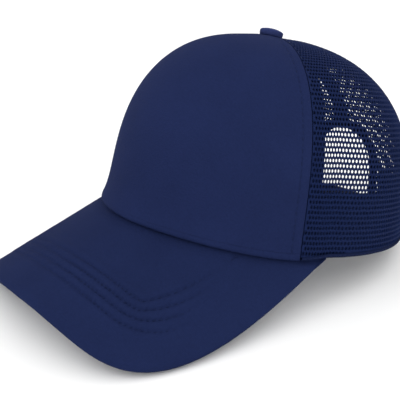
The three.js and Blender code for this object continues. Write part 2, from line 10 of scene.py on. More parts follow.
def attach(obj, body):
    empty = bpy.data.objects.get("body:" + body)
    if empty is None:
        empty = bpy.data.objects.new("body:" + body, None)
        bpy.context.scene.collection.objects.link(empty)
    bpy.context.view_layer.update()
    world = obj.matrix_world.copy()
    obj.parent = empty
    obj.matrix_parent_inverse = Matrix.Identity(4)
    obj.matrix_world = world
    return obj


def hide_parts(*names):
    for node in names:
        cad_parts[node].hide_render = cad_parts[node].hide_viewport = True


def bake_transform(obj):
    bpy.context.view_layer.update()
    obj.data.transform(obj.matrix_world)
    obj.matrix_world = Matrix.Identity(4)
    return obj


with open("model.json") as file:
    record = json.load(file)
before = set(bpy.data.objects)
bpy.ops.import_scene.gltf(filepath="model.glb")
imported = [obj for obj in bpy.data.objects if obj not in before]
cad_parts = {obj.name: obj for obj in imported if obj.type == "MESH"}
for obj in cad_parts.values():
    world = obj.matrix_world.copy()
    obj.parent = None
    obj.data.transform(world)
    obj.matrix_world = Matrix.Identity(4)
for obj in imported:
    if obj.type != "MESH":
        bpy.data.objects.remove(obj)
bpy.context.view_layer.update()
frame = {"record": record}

# Looks of a trucker mesh cap. Shapes are worked out in millimetres in the rim's own frame, where
# z = 0 is the plane of the rim, the wearer faces -Y and the wearer's left is +X. Angles round the
# head, psi, start at the front; s is the distance up the crown from its foot. to_row() then puts
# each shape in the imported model's frame, in metres.

# ---------------------------------------------------------------- driving dimensions, as in the CAD

RIM_HALF_WIDTH = 92.8
RIM_HALF_LENGTH = 97.7
RIM_POWER = 1.88
CROWN_HEIGHT = 108.5
APEX_Y = -9.0
BULGE_PLAN = {"front": 2.62, "side": 2.47, "back": 2.11}
BULGE_PROFILE = {"front": 2.45, "side": 2.92, "back": 1.9}
FRONT_FLARE = 0.06
FRONT_FLARE_HEIGHT = 8.8
FRONT_SEAM = math.radians(60.1)
SIDE_SEAM = math.radians(120)
BACK_SEAM = math.pi
SEAM_GAP = 0.2
BUTTON_HOLE_RADIUS = 2.6

FOAM = (-1.5, -4.5)
TAPE = (-1.5, -2.3)
SWEATBAND_HEIGHT = 34.0
SWEATBAND_THICKNESS = 1.2
SWEATBAND_FRONT_DEPTH = 6.5
SWEATBAND_SIDE_DEPTH = 3.0
SWEATBAND_HALF_GAP = 36.5
PAD = (-4.9, -5.8)

VISOR_END = math.radians(69.7)
VISOR_REACH = 67.4
VISOR_RADIUS = 122.0
VISOR_SLOPE = math.tan(math.radians(27.3))
VISOR_LIFT = 0.00026
VISOR_CORNER_PULL = 112.4
VISOR_FRONT_PULL = 73.8
VISOR_SPREAD = math.radians(3.6)
VISOR_THICKNESS = 4.7

ARCH_HALF_WIDTH = 21.7
ARCH_TOP = 54.5
ARCH_PANEL_EDGE = 1.2
BINDING_WIDTH = 6.5
BINDING_FOOT = 1.0

STRAP_BOTTOM = 0.5
STRAP_TOP = 9.1
STRAP_MIDDLE = (STRAP_BOTTOM + STRAP_TOP) / 2
STRAP_HALF = (STRAP_TOP - STRAP_BOTTOM) / 2
STRAP_THICKNESS = 1.0
STRAP_ROOT_X = 35.0
HOLE_STRAP_DEPTH = -3.6
STUD_STRAP_DEPTH = -5.0
STUD_PITCH = 6.33
BUTTON_RADIUS = 7.2
BUTTON_HEIGHT = 5.0

# ---------------------------------------------------------------- sizes of what only shows

MESH_PITCH = 2.34                     # between holes along a row
MESH_ROW = MESH_PITCH * math.sqrt(3) / 2
MESH_HOLE = (0.78, 0.67)              # half width and height of a hole, before the stretch
MESH_TALL = 1.36                      # stretch of the net up the crown
MESH_TILT = math.radians(1.2)         # fall of its rows towards the back
MESH_SQUEEZE = 0.72                   # narrowing of the net beside the front seam
TOPSTITCH = 4.6                       # from the front seam to its row of stitches
BUTTON_DROP = 0.8
BUTTON_LEAN = math.tan(math.radians(8))
VISOR_STITCHES_FRONT = (20.6, 25.6, 30.7, 35.8)   # from the visor's edge, in the middle
VISOR_STITCHES_SIDE = (16.6, 22.0, 27.0, 32.0)    # and round its corners
ROOT_FOLD = 0.9                       # crease of the visor's cover along the crown
VISOR_TRIM = 1.3                      # the edge is flatter either side of the middle
VISOR_STITCH = 2.7                    # length of a stitch and its gap on the visor
STITCH_PULL = 0.34                    # share by which each stitch pulls its groove in
FRONT_STITCH = 3.2

# ---------------------------------------------------------------- the rim's frame

HEAD_OPENING = next(m for m in frame["record"]["mounts"] if m["name"] == "head_opening")
RIM_CENTRE = np.array(HEAD_OPENING["pos_m"], float)
RIM_UP = -np.array(HEAD_OPENING["axis"], float)
RIM_UP /= np.linalg.norm(RIM_UP)
RIM_LEFT = np.array([1.0, 0.0, 0.0])
RIM_BACK = np.cross(RIM_UP, RIM_LEFT)
RIM_AXES = np.stack([RIM_LEFT, RIM_BACK, RIM_UP])
MIRROR = np.array([-1.0, 1.0, 1.0])


def to_row(points):
    """Millimetres in the rim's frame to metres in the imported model's frame."""
    return np.asarray(points, float) @ RIM_AXES / 1000 + RIM_CENTRE


# ---------------------------------------------------------------- small maths

def smooth(x, low, high):
    t = np.clip((x - low) / (high - low), 0, 1)
    return t * t * (3 - 2 * t)


def lerp(a, b, t):
    return a + (b - a) * t


def turns_of(count):
    """Angles once round a circle."""
    return np.linspace(0, 2 * math.pi, count, endpoint=False)


def indices(rows, columns):
    return np.meshgrid(np.arange(rows), np.arange(columns), indexing="ij")


def add_object(name, data):
    made = bpy.data.objects.new(name, data)
    bpy.context.scene.collection.objects.link(made)
    return made


def unit(v):
    return v / np.maximum(np.linalg.norm(v, axis=-1, keepdims=True), 1e-12)


def hump(x, centre, width):
    return np.exp(-((x - centre) / width) ** 2)


def spaced(*stretches):
    """Values along several stretches of (start, end, steps), each starting where the last ends."""
    line = [np.linspace(a, b, n, endpoint=False) for a, b, n in stretches]
    return np.concatenate([*line, [stretches[-1][1]]])


def rounded(corners, radius, steps=4):
    """Line through corners, with each inner corner turned into a short arc."""
    corners = [np.array(c, float) for c in corners]
    line = [corners[0]]
    for before, here, after in zip(corners, corners[1:], corners[2:]):
        a = here + unit(before - here) * min(radius, np.linalg.norm(before - here) / 2)
        b = here + unit(after - here) * min(radius, np.linalg.norm(after - here) / 2)
        for t in np.linspace(0, 1, steps + 1):
            line.append((1 - t) ** 2 * a + 2 * t * (1 - t) * here + t * t * b)
    return np.array([*line, corners[-1]])


def run_of(path):
    """Distance along a path at each of its points."""
    steps = np.linalg.norm(np.diff(path, axis=0), axis=-1)
    return np.concatenate([np.zeros((1, *steps.shape[1:])), np.cumsum(steps, axis=0)])


# ---------------------------------------------------------------- the crown's surface

def rim_plan(psi):
    c, s = np.cos(psi), np.sin(psi)
    k = (np.abs(c) ** RIM_POWER + np.abs(s) ** RIM_POWER) ** (-1 / RIM_POWER)
    return np.stack([RIM_HALF_WIDTH * s * k, -RIM_HALF_LENGTH * c * k], -1)


def rim_normal(psi):
    along = rim_plan(psi + 0.002) - rim_plan(psi - 0.002)
    return unit(np.stack([along[..., 1], -along[..., 0]], -1))


def curl_drop(x):
    reach = np.minimum(np.abs(x), 0.98 * VISOR_RADIUS)
    return VISOR_RADIUS - np.sqrt(VISOR_RADIUS ** 2 - reach ** 2)


CORNER = rim_plan(np.array(VISOR_END))


def visor_height(x, y):
    middle = curl_drop(CORNER[0]) - VISOR_SLOPE * CORNER[1]
    beyond = np.maximum(-y - RIM_HALF_LENGTH, 0)
    return middle - curl_drop(x) + VISOR_SLOPE * y + VISOR_LIFT * beyond ** 2


def rim_height(psi):
    p = rim_plan(psi)
    return np.where(np.abs(psi) < VISOR_END, visor_height(p[..., 0], p[..., 1]), 0.0)


def bulge(psi, kind):
    front = np.maximum(np.cos(psi), 0) ** 2
    back = np.maximum(-np.cos(psi), 0) ** 2
    return kind["front"] * front + kind["back"] * back + kind["side"] * (1 - front - back)


def button_seat(x, y):
    """The cloth is drawn down under the button, most of all at the back."""
    radius = np.hypot(x, y - APEX_Y)
    near = 1 - smooth(radius, 5, 20)
    return -near * (BUTTON_DROP + BUTTON_LEAN * np.clip(y - APEX_Y, -9, 9))


def crown_point(psi, w):
    psi, w = np.broadcast_arrays(np.asarray(psi, float), np.asarray(w, float))
    angle = w * math.pi / 2
    inward = np.maximum(np.cos(angle), 0) ** (2 / bulge(psi, BULGE_PLAN))
    foot = rim_height(psi)
    rise = (CROWN_HEIGHT - foot) * np.sin(angle) ** (2 / bulge(psi, BULGE_PROFILE))
    lean = FRONT_FLARE * np.exp(-rise / FRONT_FLARE_HEIGHT) * np.maximum(np.cos(psi), 0)
    p = rim_plan(psi)
    x = p[..., 0] * inward * (1 + lean)
    y = p[..., 1] * inward * (1 + lean) + APEX_Y * (1 - inward)
    return np.stack([x, y, foot + rise + button_seat(x, y)], -1)


def crown_normal(psi, w):
    step = 0.0015
    low, high = np.maximum(w - step, 1e-5), np.minimum(w + step, 1 - 1e-5)
    across = crown_point(psi + step, w) - crown_point(psi - step, w)
    up = crown_point(psi, high) - crown_point(psi, low)
    return unit(np.cross(across, up))


# w against the share of a meridian's length, for psi all the way round.
PSI_GRID = np.radians(np.linspace(-215, 215, 861))
SHARES = np.linspace(0, 1, 801)


def meridian_tables():
    steps = (1 - np.cos(np.linspace(0, math.pi, 401))) / 2
    line = crown_point(PSI_GRID[:, None], steps[None, :])
    length = run_of(line.transpose(1, 0, 2)).T
    table = np.array([np.interp(SHARES, row / row[-1], steps) for row in length])
    return table, length[:, -1]


W_TABLE, LENGTHS = meridian_tables()


def meridian_length(psi):
    return np.interp(psi, PSI_GRID, LENGTHS)


def bilinear(table, i, j):
    i0 = np.clip(np.floor(i).astype(int), 0, table.shape[0] - 2)
    j0 = np.clip(np.floor(j).astype(int), 0, table.shape[1] - 2)
    a, b = i - i0, j - j0
    low = lerp(table[i0, j0], table[i0, j0 + 1], b)
    high = lerp(table[i0 + 1, j0], table[i0 + 1, j0 + 1], b)
    return lerp(low, high, a)


def w_at(psi, s):
    share = np.clip(s / meridian_length(psi), 0, 1)
    i = (psi - PSI_GRID[0]) / (PSI_GRID[1] - PSI_GRID[0])
    return np.clip(bilinear(W_TABLE, i, share * (len(SHARES) - 1)), 0, 1)


def on_crown(psi, s, depth):
    """Points of the crown at psi and s, with the distance depth added along the normal."""
    psi, s, depth = np.broadcast_arrays(psi, s, depth)
    w = w_at(psi, s)
    return crown_point(psi, w) + crown_normal(psi, w) * depth[..., None]


def normal_at(psi, s):
    return crown_normal(psi, w_at(psi, s))


def radius_at(psi, s):
    p = crown_point(psi, w_at(psi, s))
    return np.hypot(p[..., 0], p[..., 1] - APEX_Y)


def beside(seam, mm, s):
    """psi of a line that keeps a distance in mm from a seam."""
    return seam + mm / np.maximum(radius_at(np.full_like(s, seam), s), BUTTON_HOLE_RADIUS)


def from_behind(x, z):
    """psi and s of the crown at a place seen from behind, on the wearer's left."""
    x, z = np.broadcast_arrays(np.asarray(x, float), np.asarray(z, float))
    low, high = np.full(x.shape, math.pi / 2), np.full(x.shape, math.pi)
    for _ in range(45):
        psi = (low + high) / 2
        power = bulge(psi, BULGE_PROFILE) / 2
        w = np.arcsin(np.clip(z / CROWN_HEIGHT, 0, 1) ** power) * 2 / math.pi
        wide = crown_point(psi, w)[..., 0] > x
        low, high = np.where(wide, psi, low), np.where(wide, high, psi)
    steps = (1 - np.cos(np.linspace(0, math.pi, 201))) / 2
    line = crown_point(psi[..., None], w[..., None] * steps)
    return psi, np.linalg.norm(np.diff(line, axis=-2), axis=-1).sum(-1)


def back_psi(x):
    """psi of the rim at a signed distance from the middle of the back."""
    psi, _ = from_behind(np.abs(x), 0.5)
    return np.where(np.asarray(x) >= 0, psi, 2 * math.pi - psi)


# ---------------------------------------------------------------- meshes

def grid_faces(columns, rows):
    """Quads of a grid of points with columns + 1 by rows + 1 of them."""
    i, j = indices(columns, rows)
    a = (i * (rows + 1) + j).ravel()
    return [np.stack([a, a + rows + 1, a + rows + 2, a + 1], -1)]


def grid_normals(grid):
    return unit(np.cross(np.gradient(grid, axis=0), np.gradient(grid, axis=1)))


def thicken(outer, inner, faces):
    """Closed solid between a surface and its copy on the other side."""
    count = len(outer)
    starts = np.concatenate([f.ravel() for f in faces])
    ends = np.concatenate([np.roll(f, -1, axis=1).ravel() for f in faces])
    open_edge = ~np.isin(starts * count + ends, ends * count + starts)
    a, b = starts[open_edge], ends[open_edge]
    walls = np.stack([b, a, a + count, b + count], -1)
    flipped = [f[:, ::-1] + count for f in faces]
    return np.concatenate([outer, inner]), [*faces, *flipped, walls]


def shell(outer, inner):
    """Closed solid between two grids of points."""
    faces = grid_faces(outer.shape[0] - 1, outer.shape[1] - 1)
    return thicken(outer.reshape(-1, 3), inner.reshape(-1, 3), faces)


def sweep(section, points, across, normals):
    """Solid of a closed section of (across, normal) offsets, swept along a path."""
    section = np.array(section)
    place = (points[:, None] + section[None, :, :1] * across[:, None]
             + section[None, :, 1:] * normals[:, None])
    count, sides = place.shape[:2]
    i, k = indices(count - 1, sides)
    a, b = (i * sides + k).ravel(), (i * sides + (k + 1) % sides).ravel()
    first = np.arange(sides)[None, ::-1]
    last = (np.arange(sides) + (count - 1) * sides)[None]
    return place.reshape(-1, 3), [np.stack([a, b, b + sides, a + sides], -1), first, last]


def ribbon(line, thickness):
    """Closed section of a strip of cloth of some thickness along a line."""
    line = np.array(line)
    along = unit(np.gradient(line, axis=0))
    side = np.stack([-along[:, 1], along[:, 0]], -1) * thickness / 2
    return np.concatenate([line + side, (line - side)[::-1]])


def turned_faces(sides, count):
    """Quads between a profile of some points and its copies round an axis."""
    i, j = indices(sides, count - 1)
    a, b = (i * count + j).ravel(), ((i + 1) % sides * count + j).ravel()
    return [np.stack([a, b, b + 1, a + 1], -1)]


def turned(profile, sides):
    """Solid of a profile of (radius, height) turned about the button's axis."""
    profile = np.array(profile)
    angle = turns_of(sides)
    points = np.stack([
        profile[None, :, 0] * np.cos(angle)[:, None],
        profile[None, :, 0] * np.sin(angle)[:, None],
        np.broadcast_to(profile[None, :, 1], (sides, len(profile))),
    ], -1)
    return points.reshape(-1, 3), turned_faces(sides, len(profile))


def on_button(points):
    """Points round the button's axis moved to the button's leaning seat."""
    turn = math.atan(BUTTON_LEAN)
    cos, sin = math.cos(turn), math.sin(turn)
    y = points[..., 1] * cos + points[..., 2] * sin
    z = points[..., 2] * cos - points[..., 1] * sin
    return np.stack([points[..., 0], y + APEX_Y, z + CROWN_HEIGHT - BUTTON_DROP], -1)


def join(*shapes):
    """Several (points, faces) as one."""
    points, faces, shift = [], [], 0
    for p, f in shapes:
        points.append(p)
        faces += [g + shift for g in f]
        shift += len(p)
    return np.concatenate(points), faces


def volume(points, faces):
    total = 0.0
    for f in faces:
        for k in range(1, f.shape[1] - 1):
            a, b, c = points[f[:, 0]], points[f[:, k]], points[f[:, k + 1]]
            total += (a * np.cross(b, c)).sum() / 6
    return total


def build(name, shape, material, replaces=(), uv=None, sharp=60, body="crown", weld=False):
    """A piece of the cap from (points, faces) in the rim's frame."""
    points, faces = shape
    if volume(points - points.mean(0), faces) < 0:
        faces = [f[:, ::-1] for f in faces]
    mesh = bpy.data.meshes.new(name)
    sizes = np.concatenate([np.full(len(f), f.shape[1]) for f in faces])
    loops = np.concatenate([f.ravel() for f in faces]).astype(np.int32)
    starts = np.concatenate([[0], np.cumsum(sizes)[:-1]]).astype(np.int32)
    mesh.vertices.add(len(points))
    mesh.vertices.foreach_set("co", to_row(points).astype(np.float32).ravel())
    mesh.loops.add(len(loops))
    mesh.loops.foreach_set("vertex_index", loops)
    mesh.polygons.add(len(sizes))
    mesh.polygons.foreach_set("loop_start", starts)
    mesh.update(calc_edges=True)
    if uv is not None:
        layer = mesh.uv_layers.new(name="cloth")
        layer.data.foreach_set("uv", np.asarray(uv, np.float32)[loops].ravel())
    if weld:
        soft = bmesh.new()
        soft.from_mesh(mesh)
        bmesh.ops.remove_doubles(soft, verts=soft.verts, dist=1e-6)
        soft.to_mesh(mesh)
        soft.free()
    mesh.validate()
    mesh.polygons.foreach_set("use_smooth", np.ones(len(mesh.polygons), bool))
    mesh.set_sharp_from_angle(angle=math.radians(sharp))
    mesh.materials.append(material)
    piece = add_object(name, mesh)
    if body:
        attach(piece, body)
    if replaces:
        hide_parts(*replaces)
    return piece


def cloth_uv(x, y):
    """Flat coordinates, in centimetres, for both sides of a sheet."""
    return twice(np.stack(np.broadcast_arrays(x, y), -1))


def foam_edge(u, v, wide, tall, radius, least):
    """Share of the full thickness over a sheet of foam, falling off round its edges."""
    edge = np.minimum(np.minimum(u, 1 - u)[:, None] * wide, np.minimum(v, 1 - v)[None] * tall)
    return np.sqrt(np.clip(1 - (1 - np.clip(edge / radius, 0, 1)) ** 2, least, 1))


def twice(uv):
    """The same flat coordinates for a solid's outer and inner sides."""
    uv = uv.reshape(-1, 2)
    return np.concatenate([uv, uv])


def stitches(path, normals, pitch=3.2, gap=0.6, radius=0.24, lift=0.02):
    """Threads in a row along a path, each dipping into the cloth at its ends."""
    run = run_of(path)
    count = int((run[-1] - gap) / pitch)
    share = np.array([0, 0.1, 0.3, 0.5, 0.7, 0.9, 1])
    thick = radius * np.array([0.3, 0.75, 1, 1, 1, 0.75, 0.3])
    sunk = np.array([0.9, 0.35, 0, 0, 0, 0.35, 0.9]) * radius
    at = (np.arange(count)[:, None] * pitch + gap / 2 + share * (pitch - gap)).ravel()

    def rows_at(place, rows):
        return np.stack([np.interp(place, run, rows[:, k]) for k in range(3)], -1)

    centre, normal = rows_at(at, path), unit(rows_at(at, normals))
    side = unit(np.cross(unit(rows_at(at + 0.3, path) - rows_at(at - 0.3, path)), normal))
    thick, sunk = np.tile(thick, count), np.tile(sunk, count)
    centre += normal * (lift - sunk)[:, None]
    sides = 8
    turn = turns_of(sides)
    ring = (np.cos(turn)[None, :, None] * side[:, None]
            + np.sin(turn)[None, :, None] * normal[:, None]) * thick[:, None, None]
    points = (centre[:, None] + ring).reshape(-1, 3)
    rings = len(share)
    first = (np.arange(count) * rings * sides)[:, None]
    k, j = indices(rings - 1, sides)
    a = (k * sides + j).ravel()
    b = (k * sides + (j + 1) % sides).ravel()
    quads = np.stack([a, b, b + sides, a + sides], -1)
    quads = (quads[None] + first[:, None]).reshape(-1, 4)
    cap = np.arange(sides)
    start = cap[None, ::-1] + first
    end = cap[None] + first + (rings - 1) * sides
    return points, [quads, start, end]


# ---------------------------------------------------------------- materials

class Look:
    """A node material that is put together a few nodes at a time."""

    def __init__(self, name, roughness, specular=0.2, metallic=0.0):
        self.material = bpy.data.materials.new(name)
        self.material.use_nodes = True
        self.tree = self.material.node_tree
        self.shader = self.tree.nodes["Principled BSDF"]
        self.shader.inputs["Roughness"].default_value = roughness
        self.shader.inputs["Specular IOR Level"].default_value = specular
        self.shader.inputs["Metallic"].default_value = metallic
        self.height = None

    def node(self, kind, inputs=(), **settings):
        made = self.tree.nodes.new("ShaderNode" + kind)
        for key, value in settings.items():
            setattr(made, key, value)
        for key, value in dict(inputs).items():
            if isinstance(value, bpy.types.NodeSocket):
                self.tree.links.new(value, made.inputs[key])
            else:
                made.inputs[key].default_value = value
        return made

    def maths(self, operation, a, b=0.0):
        return self.node("Math", {0: a, 1: b}, operation=operation).outputs[0]

    def flat(self):
        """Flat-pattern coordinates in centimetres."""
        split = self.node("SeparateXYZ", {0: self.node("TexCoord").outputs["UV"]})
        return split.outputs[0], split.outputs[1]

    def solid(self):
        """Object coordinates, in metres."""
        return self.node("TexCoord").outputs["Object"]

    def share(self, value, amount=0.5):
        """A value either side of 0 brought round to a factor from 0 to 1."""
        return self.node("Math", {0: value, 1: amount, 2: 0.5}, operation="MULTIPLY_ADD").outputs[0]

    def wave(self, coordinate, period):
        """Sine wave from -1 to 1 with a period in the coordinate's units."""
        return self.maths("SINE", self.maths("MULTIPLY", coordinate, 2 * math.pi / period))

    def noise(self, scale, detail=3.0, vector=None):
        vector = self.solid() if vector is None else vector
        inputs = {"Scale": scale, "Detail": detail, "Vector": vector}
        return self.node("TexNoise", inputs).outputs[0]

    def streaks(self, stretch, scale, detail):
        """Noise that is stretched by a different amount along each axis."""
        place = self.node("Mapping", {0: self.solid(), 3: stretch}).outputs[0]
        return self.noise(scale, detail, place)

    def roughness(self, value, low, high):
        """Roughness between two, by a value that is mostly from 0.3 to 0.7."""
        spread = self.node("MapRange", {0: value, 1: 0.3, 2: 0.7, 3: low, 4: high})
        self.tree.links.new(spread.outputs[0], self.shader.inputs["Roughness"])

    def add_height(self, value, amount):
        value = self.maths("MULTIPLY", value, amount)
        self.height = value if self.height is None else self.maths("ADD", self.height, value)

    def colour(self, dark, light, *factors):
        """Colour between two, by the mean of some factors from 0 to 1."""
        factor = factors[0]
        for more in factors[1:]:
            factor = self.maths("ADD", factor, more)
        factor = self.maths("DIVIDE", factor, float(len(factors)))
        mix = self.node("MixRGB", {0: factor, 1: (*dark, 1), 2: (*light, 1)})
        self.tree.links.new(mix.outputs[0], self.shader.inputs["Base Color"])
        return self

    def done(self):
        if self.height is not None:
            bump = self.node("Bump", {"Height": self.height, "Strength": 1.0, "Distance": 0.001})
            self.tree.links.new(bump.outputs[0], self.shader.inputs["Normal"])
        return self.material


def shade(colour, amount):
    return tuple(c * amount for c in colour)


def knit(name, colour, wale=0.055):
    """Smooth polyester knit: fine wales and courses, a little fuzz and colour variation."""
    look = Look(name, 0.9, specular=0.03)
    x, y = look.flat()
    lean = look.maths("MULTIPLY", look.maths("ABSOLUTE", look.wave(x, wale * 2)), 0.018)
    loops = look.wave(look.maths("ADD", y, lean), wale * 0.8)
    wales = look.wave(x, wale)
    fuzz = look.noise(2600, 4.0)
    grain = look.noise(900, 2.0)
    patches = look.noise(35, 3.0)
    look.add_height(loops, 0.03)
    look.add_height(wales, 0.03)
    look.add_height(fuzz, 0.12)
    look.add_height(grain, 0.34)
    weave = look.share(look.maths("ADD", loops, wales), 0.25)
    return look.colour(shade(colour, 0.45), shade(colour, 1.55), patches, grain, fuzz, weave).done()


def twill(name, colour, period=0.07):
    """Cotton twill: diagonal ribs crossed by fine threads."""
    look = Look(name, 0.92, specular=0.03)
    x, y = look.flat()
    ribs = look.wave(look.maths("ADD", x, y), period)
    threads = look.wave(look.maths("SUBTRACT", x, y), period * 0.6)
    fuzz = look.noise(1800, 4.0)
    look.add_height(ribs, 0.05)
    look.add_height(threads, 0.015)
    look.add_height(fuzz, 0.06)
    return look.colour(shade(colour, 0.72), shade(colour, 1.28), look.share(ribs), fuzz).done()


def tape_weave(name, colour):
    """Flat woven tape: crossing threads."""
    look = Look(name, 0.85, specular=0.04)
    x, y = look.flat()
    warp = look.wave(x, 0.05)
    weft = look.wave(y, 0.05)
    crossing = look.maths("MULTIPLY", warp, weft)
    fuzz = look.noise(1500, 3.0)
    look.add_height(crossing, 0.05)
    look.add_height(fuzz, 0.04)
    over = look.share(crossing)
    return look.colour(shade(colour, 0.75), shade(colour, 1.25), over, fuzz).done()


def mesh_fibre(name, colour):
    """Stiff knitted polyester net: fine filaments along the strands, with some gloss."""
    look = Look(name, 0.72, specular=0.06)
    x, y = look.flat()
    filaments = look.wave(look.maths("ADD", y, look.maths("MULTIPLY", x, 0.35)), 0.022)
    crossing = look.wave(look.maths("SUBTRACT", x, look.maths("MULTIPLY", y, 0.35)), 0.03)
    fuzz = look.noise(1200, 3.0)
    look.add_height(filaments, 0.03)
    look.add_height(crossing, 0.02)
    look.add_height(fuzz, 0.05)
    return look.colour(shade(colour, 0.8), shade(colour, 1.2), fuzz, look.noise(60, 2.0)).done()


def foam_look(name, colour):
    """Open-cell foam: fine pores."""
    look = Look(name, 0.95, specular=0.03)
    pores = look.node("TexVoronoi", {"Vector": look.solid(), "Scale": 1500.0}).outputs[0]
    lumps = look.noise(420, 4.0)
    look.add_height(pores, 0.28)
    look.add_height(lumps, 0.12)
    return look.colour(shade(colour, 0.6), shade(colour, 1.25), pores, lumps).done()


def thread_look(name, colour):
    """Twisted sewing thread."""
    look = Look(name, 0.75, specular=0.06)
    split = look.node("SeparateXYZ", {0: look.solid()})
    twist = look.wave(look.maths("ADD", split.outputs[0], split.outputs[2]), 0.00035)
    look.add_height(twist, 0.04)
    return look.colour(shade(colour, 0.85), shade(colour, 1.15), look.share(twist)).done()


def plastic_look(name, colour, roughness=0.36):
    """Moulded polyethylene: satin, with a faint grain and fine scuffs."""
    look = Look(name, roughness, specular=0.3)
    grain = look.noise(900, 3.0)
    scuffs = look.streaks((60, 60, 900), 3.0, 4.0)
    look.add_height(grain, 0.012)
    look.add_height(scuffs, 0.01)
    look.roughness(scuffs, roughness - 0.06, roughness + 0.12)
    return look.colour(shade(colour, 0.9), shade(colour, 1.12), grain).done()


def steel_look(name):
    """Zinc-plated pressed steel: fine scratches and dull patches."""
    look = Look(name, 0.34, specular=0.5, metallic=1.0)
    scratches = look.streaks((2400, 160, 160), 1.0, 5.0)
    patches = look.noise(260, 3.0)
    look.add_height(scratches, 0.01)
    look.roughness(patches, 0.26, 0.46)
    return look.colour((0.42, 0.43, 0.44), (0.62, 0.62, 0.61), patches, scratches).done()


def floor_look():
    look = Look("studio_floor", 0.9, specular=0.1)
    return look.colour((0.93, 0.93, 0.93), (0.96, 0.96, 0.96), look.noise(3, 2.0)).done()


NAVY_FRONT = (0.0130, 0.0209, 0.0730)
NAVY_VISOR = (0.0118, 0.0193, 0.0670)
NAVY_MESH = (0.0078, 0.0165, 0.0680)
NAVY_TAPE = (0.0068, 0.0122, 0.0440)
NAVY_UNDERSIDE = (0.0115, 0.0200, 0.0720)
# Sweatband: its own navy twill colour, painted about half again lighter than the underside's as
# painted light, so the band seen through the mesh's holes is not as dark as their shade.
NAVY_BAND_PAINTED_LIGHT = (0.0190, 0.0310, 0.1000)
NAVY_SEAM_TAPE = (0.0120, 0.0200, 0.0680)
# Button: the front's navy knit painted much lighter, as painted light that lifts the shade the
# button sits in.
NAVY_BUTTON_PAINTED_LIGHT = (0.0290, 0.0410, 0.1300)
NAVY_FOAM = (0.0240, 0.0350, 0.0950)
NAVY_THREAD = (0.0115, 0.0190, 0.0660)
NAVY_STRAP = (0.0080, 0.0145, 0.0560)

FRONT_CLOTH = knit("front_cloth", NAVY_FRONT)
VISOR_CLOTH = knit("visor_cloth", NAVY_VISOR)
BUTTON_CLOTH_PAINTED_LIGHT = knit("button_cloth", NAVY_BUTTON_PAINTED_LIGHT)
BAND_CLOTH_PAINTED_LIGHT = twill("sweatband_twill_painted_light", NAVY_BAND_PAINTED_LIGHT)
UNDERSIDE_CLOTH = twill("visor_underside_twill", NAVY_UNDERSIDE)
SEAM_TAPE_CLOTH = tape_weave("seam_tape_weave", NAVY_SEAM_TAPE)
TAPE_CLOTH = tape_weave("binding_weave", NAVY_TAPE)
LABEL_CLOTH = tape_weave("label_satin", (0.78, 0.78, 0.75))
MESH_FIBRE = mesh_fibre("polyester_net", NAVY_MESH)
FOAM_LOOK = foam_look("navy_foam", NAVY_FOAM)
THREAD = thread_look("sewing_thread", NAVY_THREAD)
STRAP_PLASTIC = plastic_look("strap_plastic", NAVY_STRAP)
BOARD_PLASTIC = plastic_look("visor_board_plastic", (0.26, 0.27, 0.29), 0.45)
STEEL = steel_look("plated_steel")

# ---------------------------------------------------------------- front panel and its foam

FRONT_FOOT = 3.0                      # where the front begins to turn under at its foot
FRONT_TOP_GAP = BUTTON_HOLE_RADIUS + 0.6
FRONT_CLOTH_THICKNESS = 0.62
FOAM_FOOT = 4.0
FOAM_TOP_GAP = 14


def front_dip(e):
    """Depth of the front's surface at a distance from its seam: turned edge, topstitch, foam."""
    turned_edge = -0.24 * hump(e, 0, 0.9)
    allowance = -0.15 * (1 - smooth(e, 5.6, 8.6))
    return turned_edge + allowance - 0.22 * hump(e, TOPSTITCH, 0.5)


def front_columns(rows):
    """psi and distance from the seam for a grid over the front, seam to seam."""
    edge = spaced((0, 2, 7), (2, 3.6, 4), (3.6, 5.6, 10), (5.6, 10, 8), (10, 14, 3))
    seam_s = lerp(FRONT_FOOT, meridian_length(FRONT_SEAM) - FRONT_TOP_GAP, rows)
    radius = radius_at(np.full_like(seam_s, FRONT_SEAM), seam_s)
    squeeze = np.minimum(1, FRONT_SEAM * radius / 38)
    away = (SEAM_GAP + edge[:, None] * squeeze) / radius
    left = -FRONT_SEAM + away
    middle = left[-1] * np.linspace(1, -1, 121)[1:-1, None]
    psi = np.concatenate([left, middle, -left[::-1]])
    return psi, (FRONT_SEAM - np.abs(psi)) * radius / squeeze


def front_roll(psi, top, slope_down):
    """Rows that turn the front's foot under, down onto the visor."""
    plan, normal = rim_plan(psi), rim_normal(psi)
    flare = np.linalg.norm(crown_point(psi, 0.0)[..., :2] - plan, axis=-1)

    def on_visor_at(offset, above):
        p = plan + normal * np.asarray(offset)[..., None]
        return np.concatenate([p, (visor_height(p[:, 0], p[:, 1]) + above)[:, None]], -1)

    foot = on_visor_at(np.full_like(psi, 0.6), 0.25)
    ahead = on_visor_at(0.6 + 0.86 * flare, 0.3)
    below = top + slope_down * 2.4
    t = np.linspace(0, 1, 15)[:-1, None, None]
    return ((1 - t) ** 3 * foot + 3 * t * (1 - t) ** 2 * ahead
            + 3 * t * t * (1 - t) * below + t ** 3 * top)


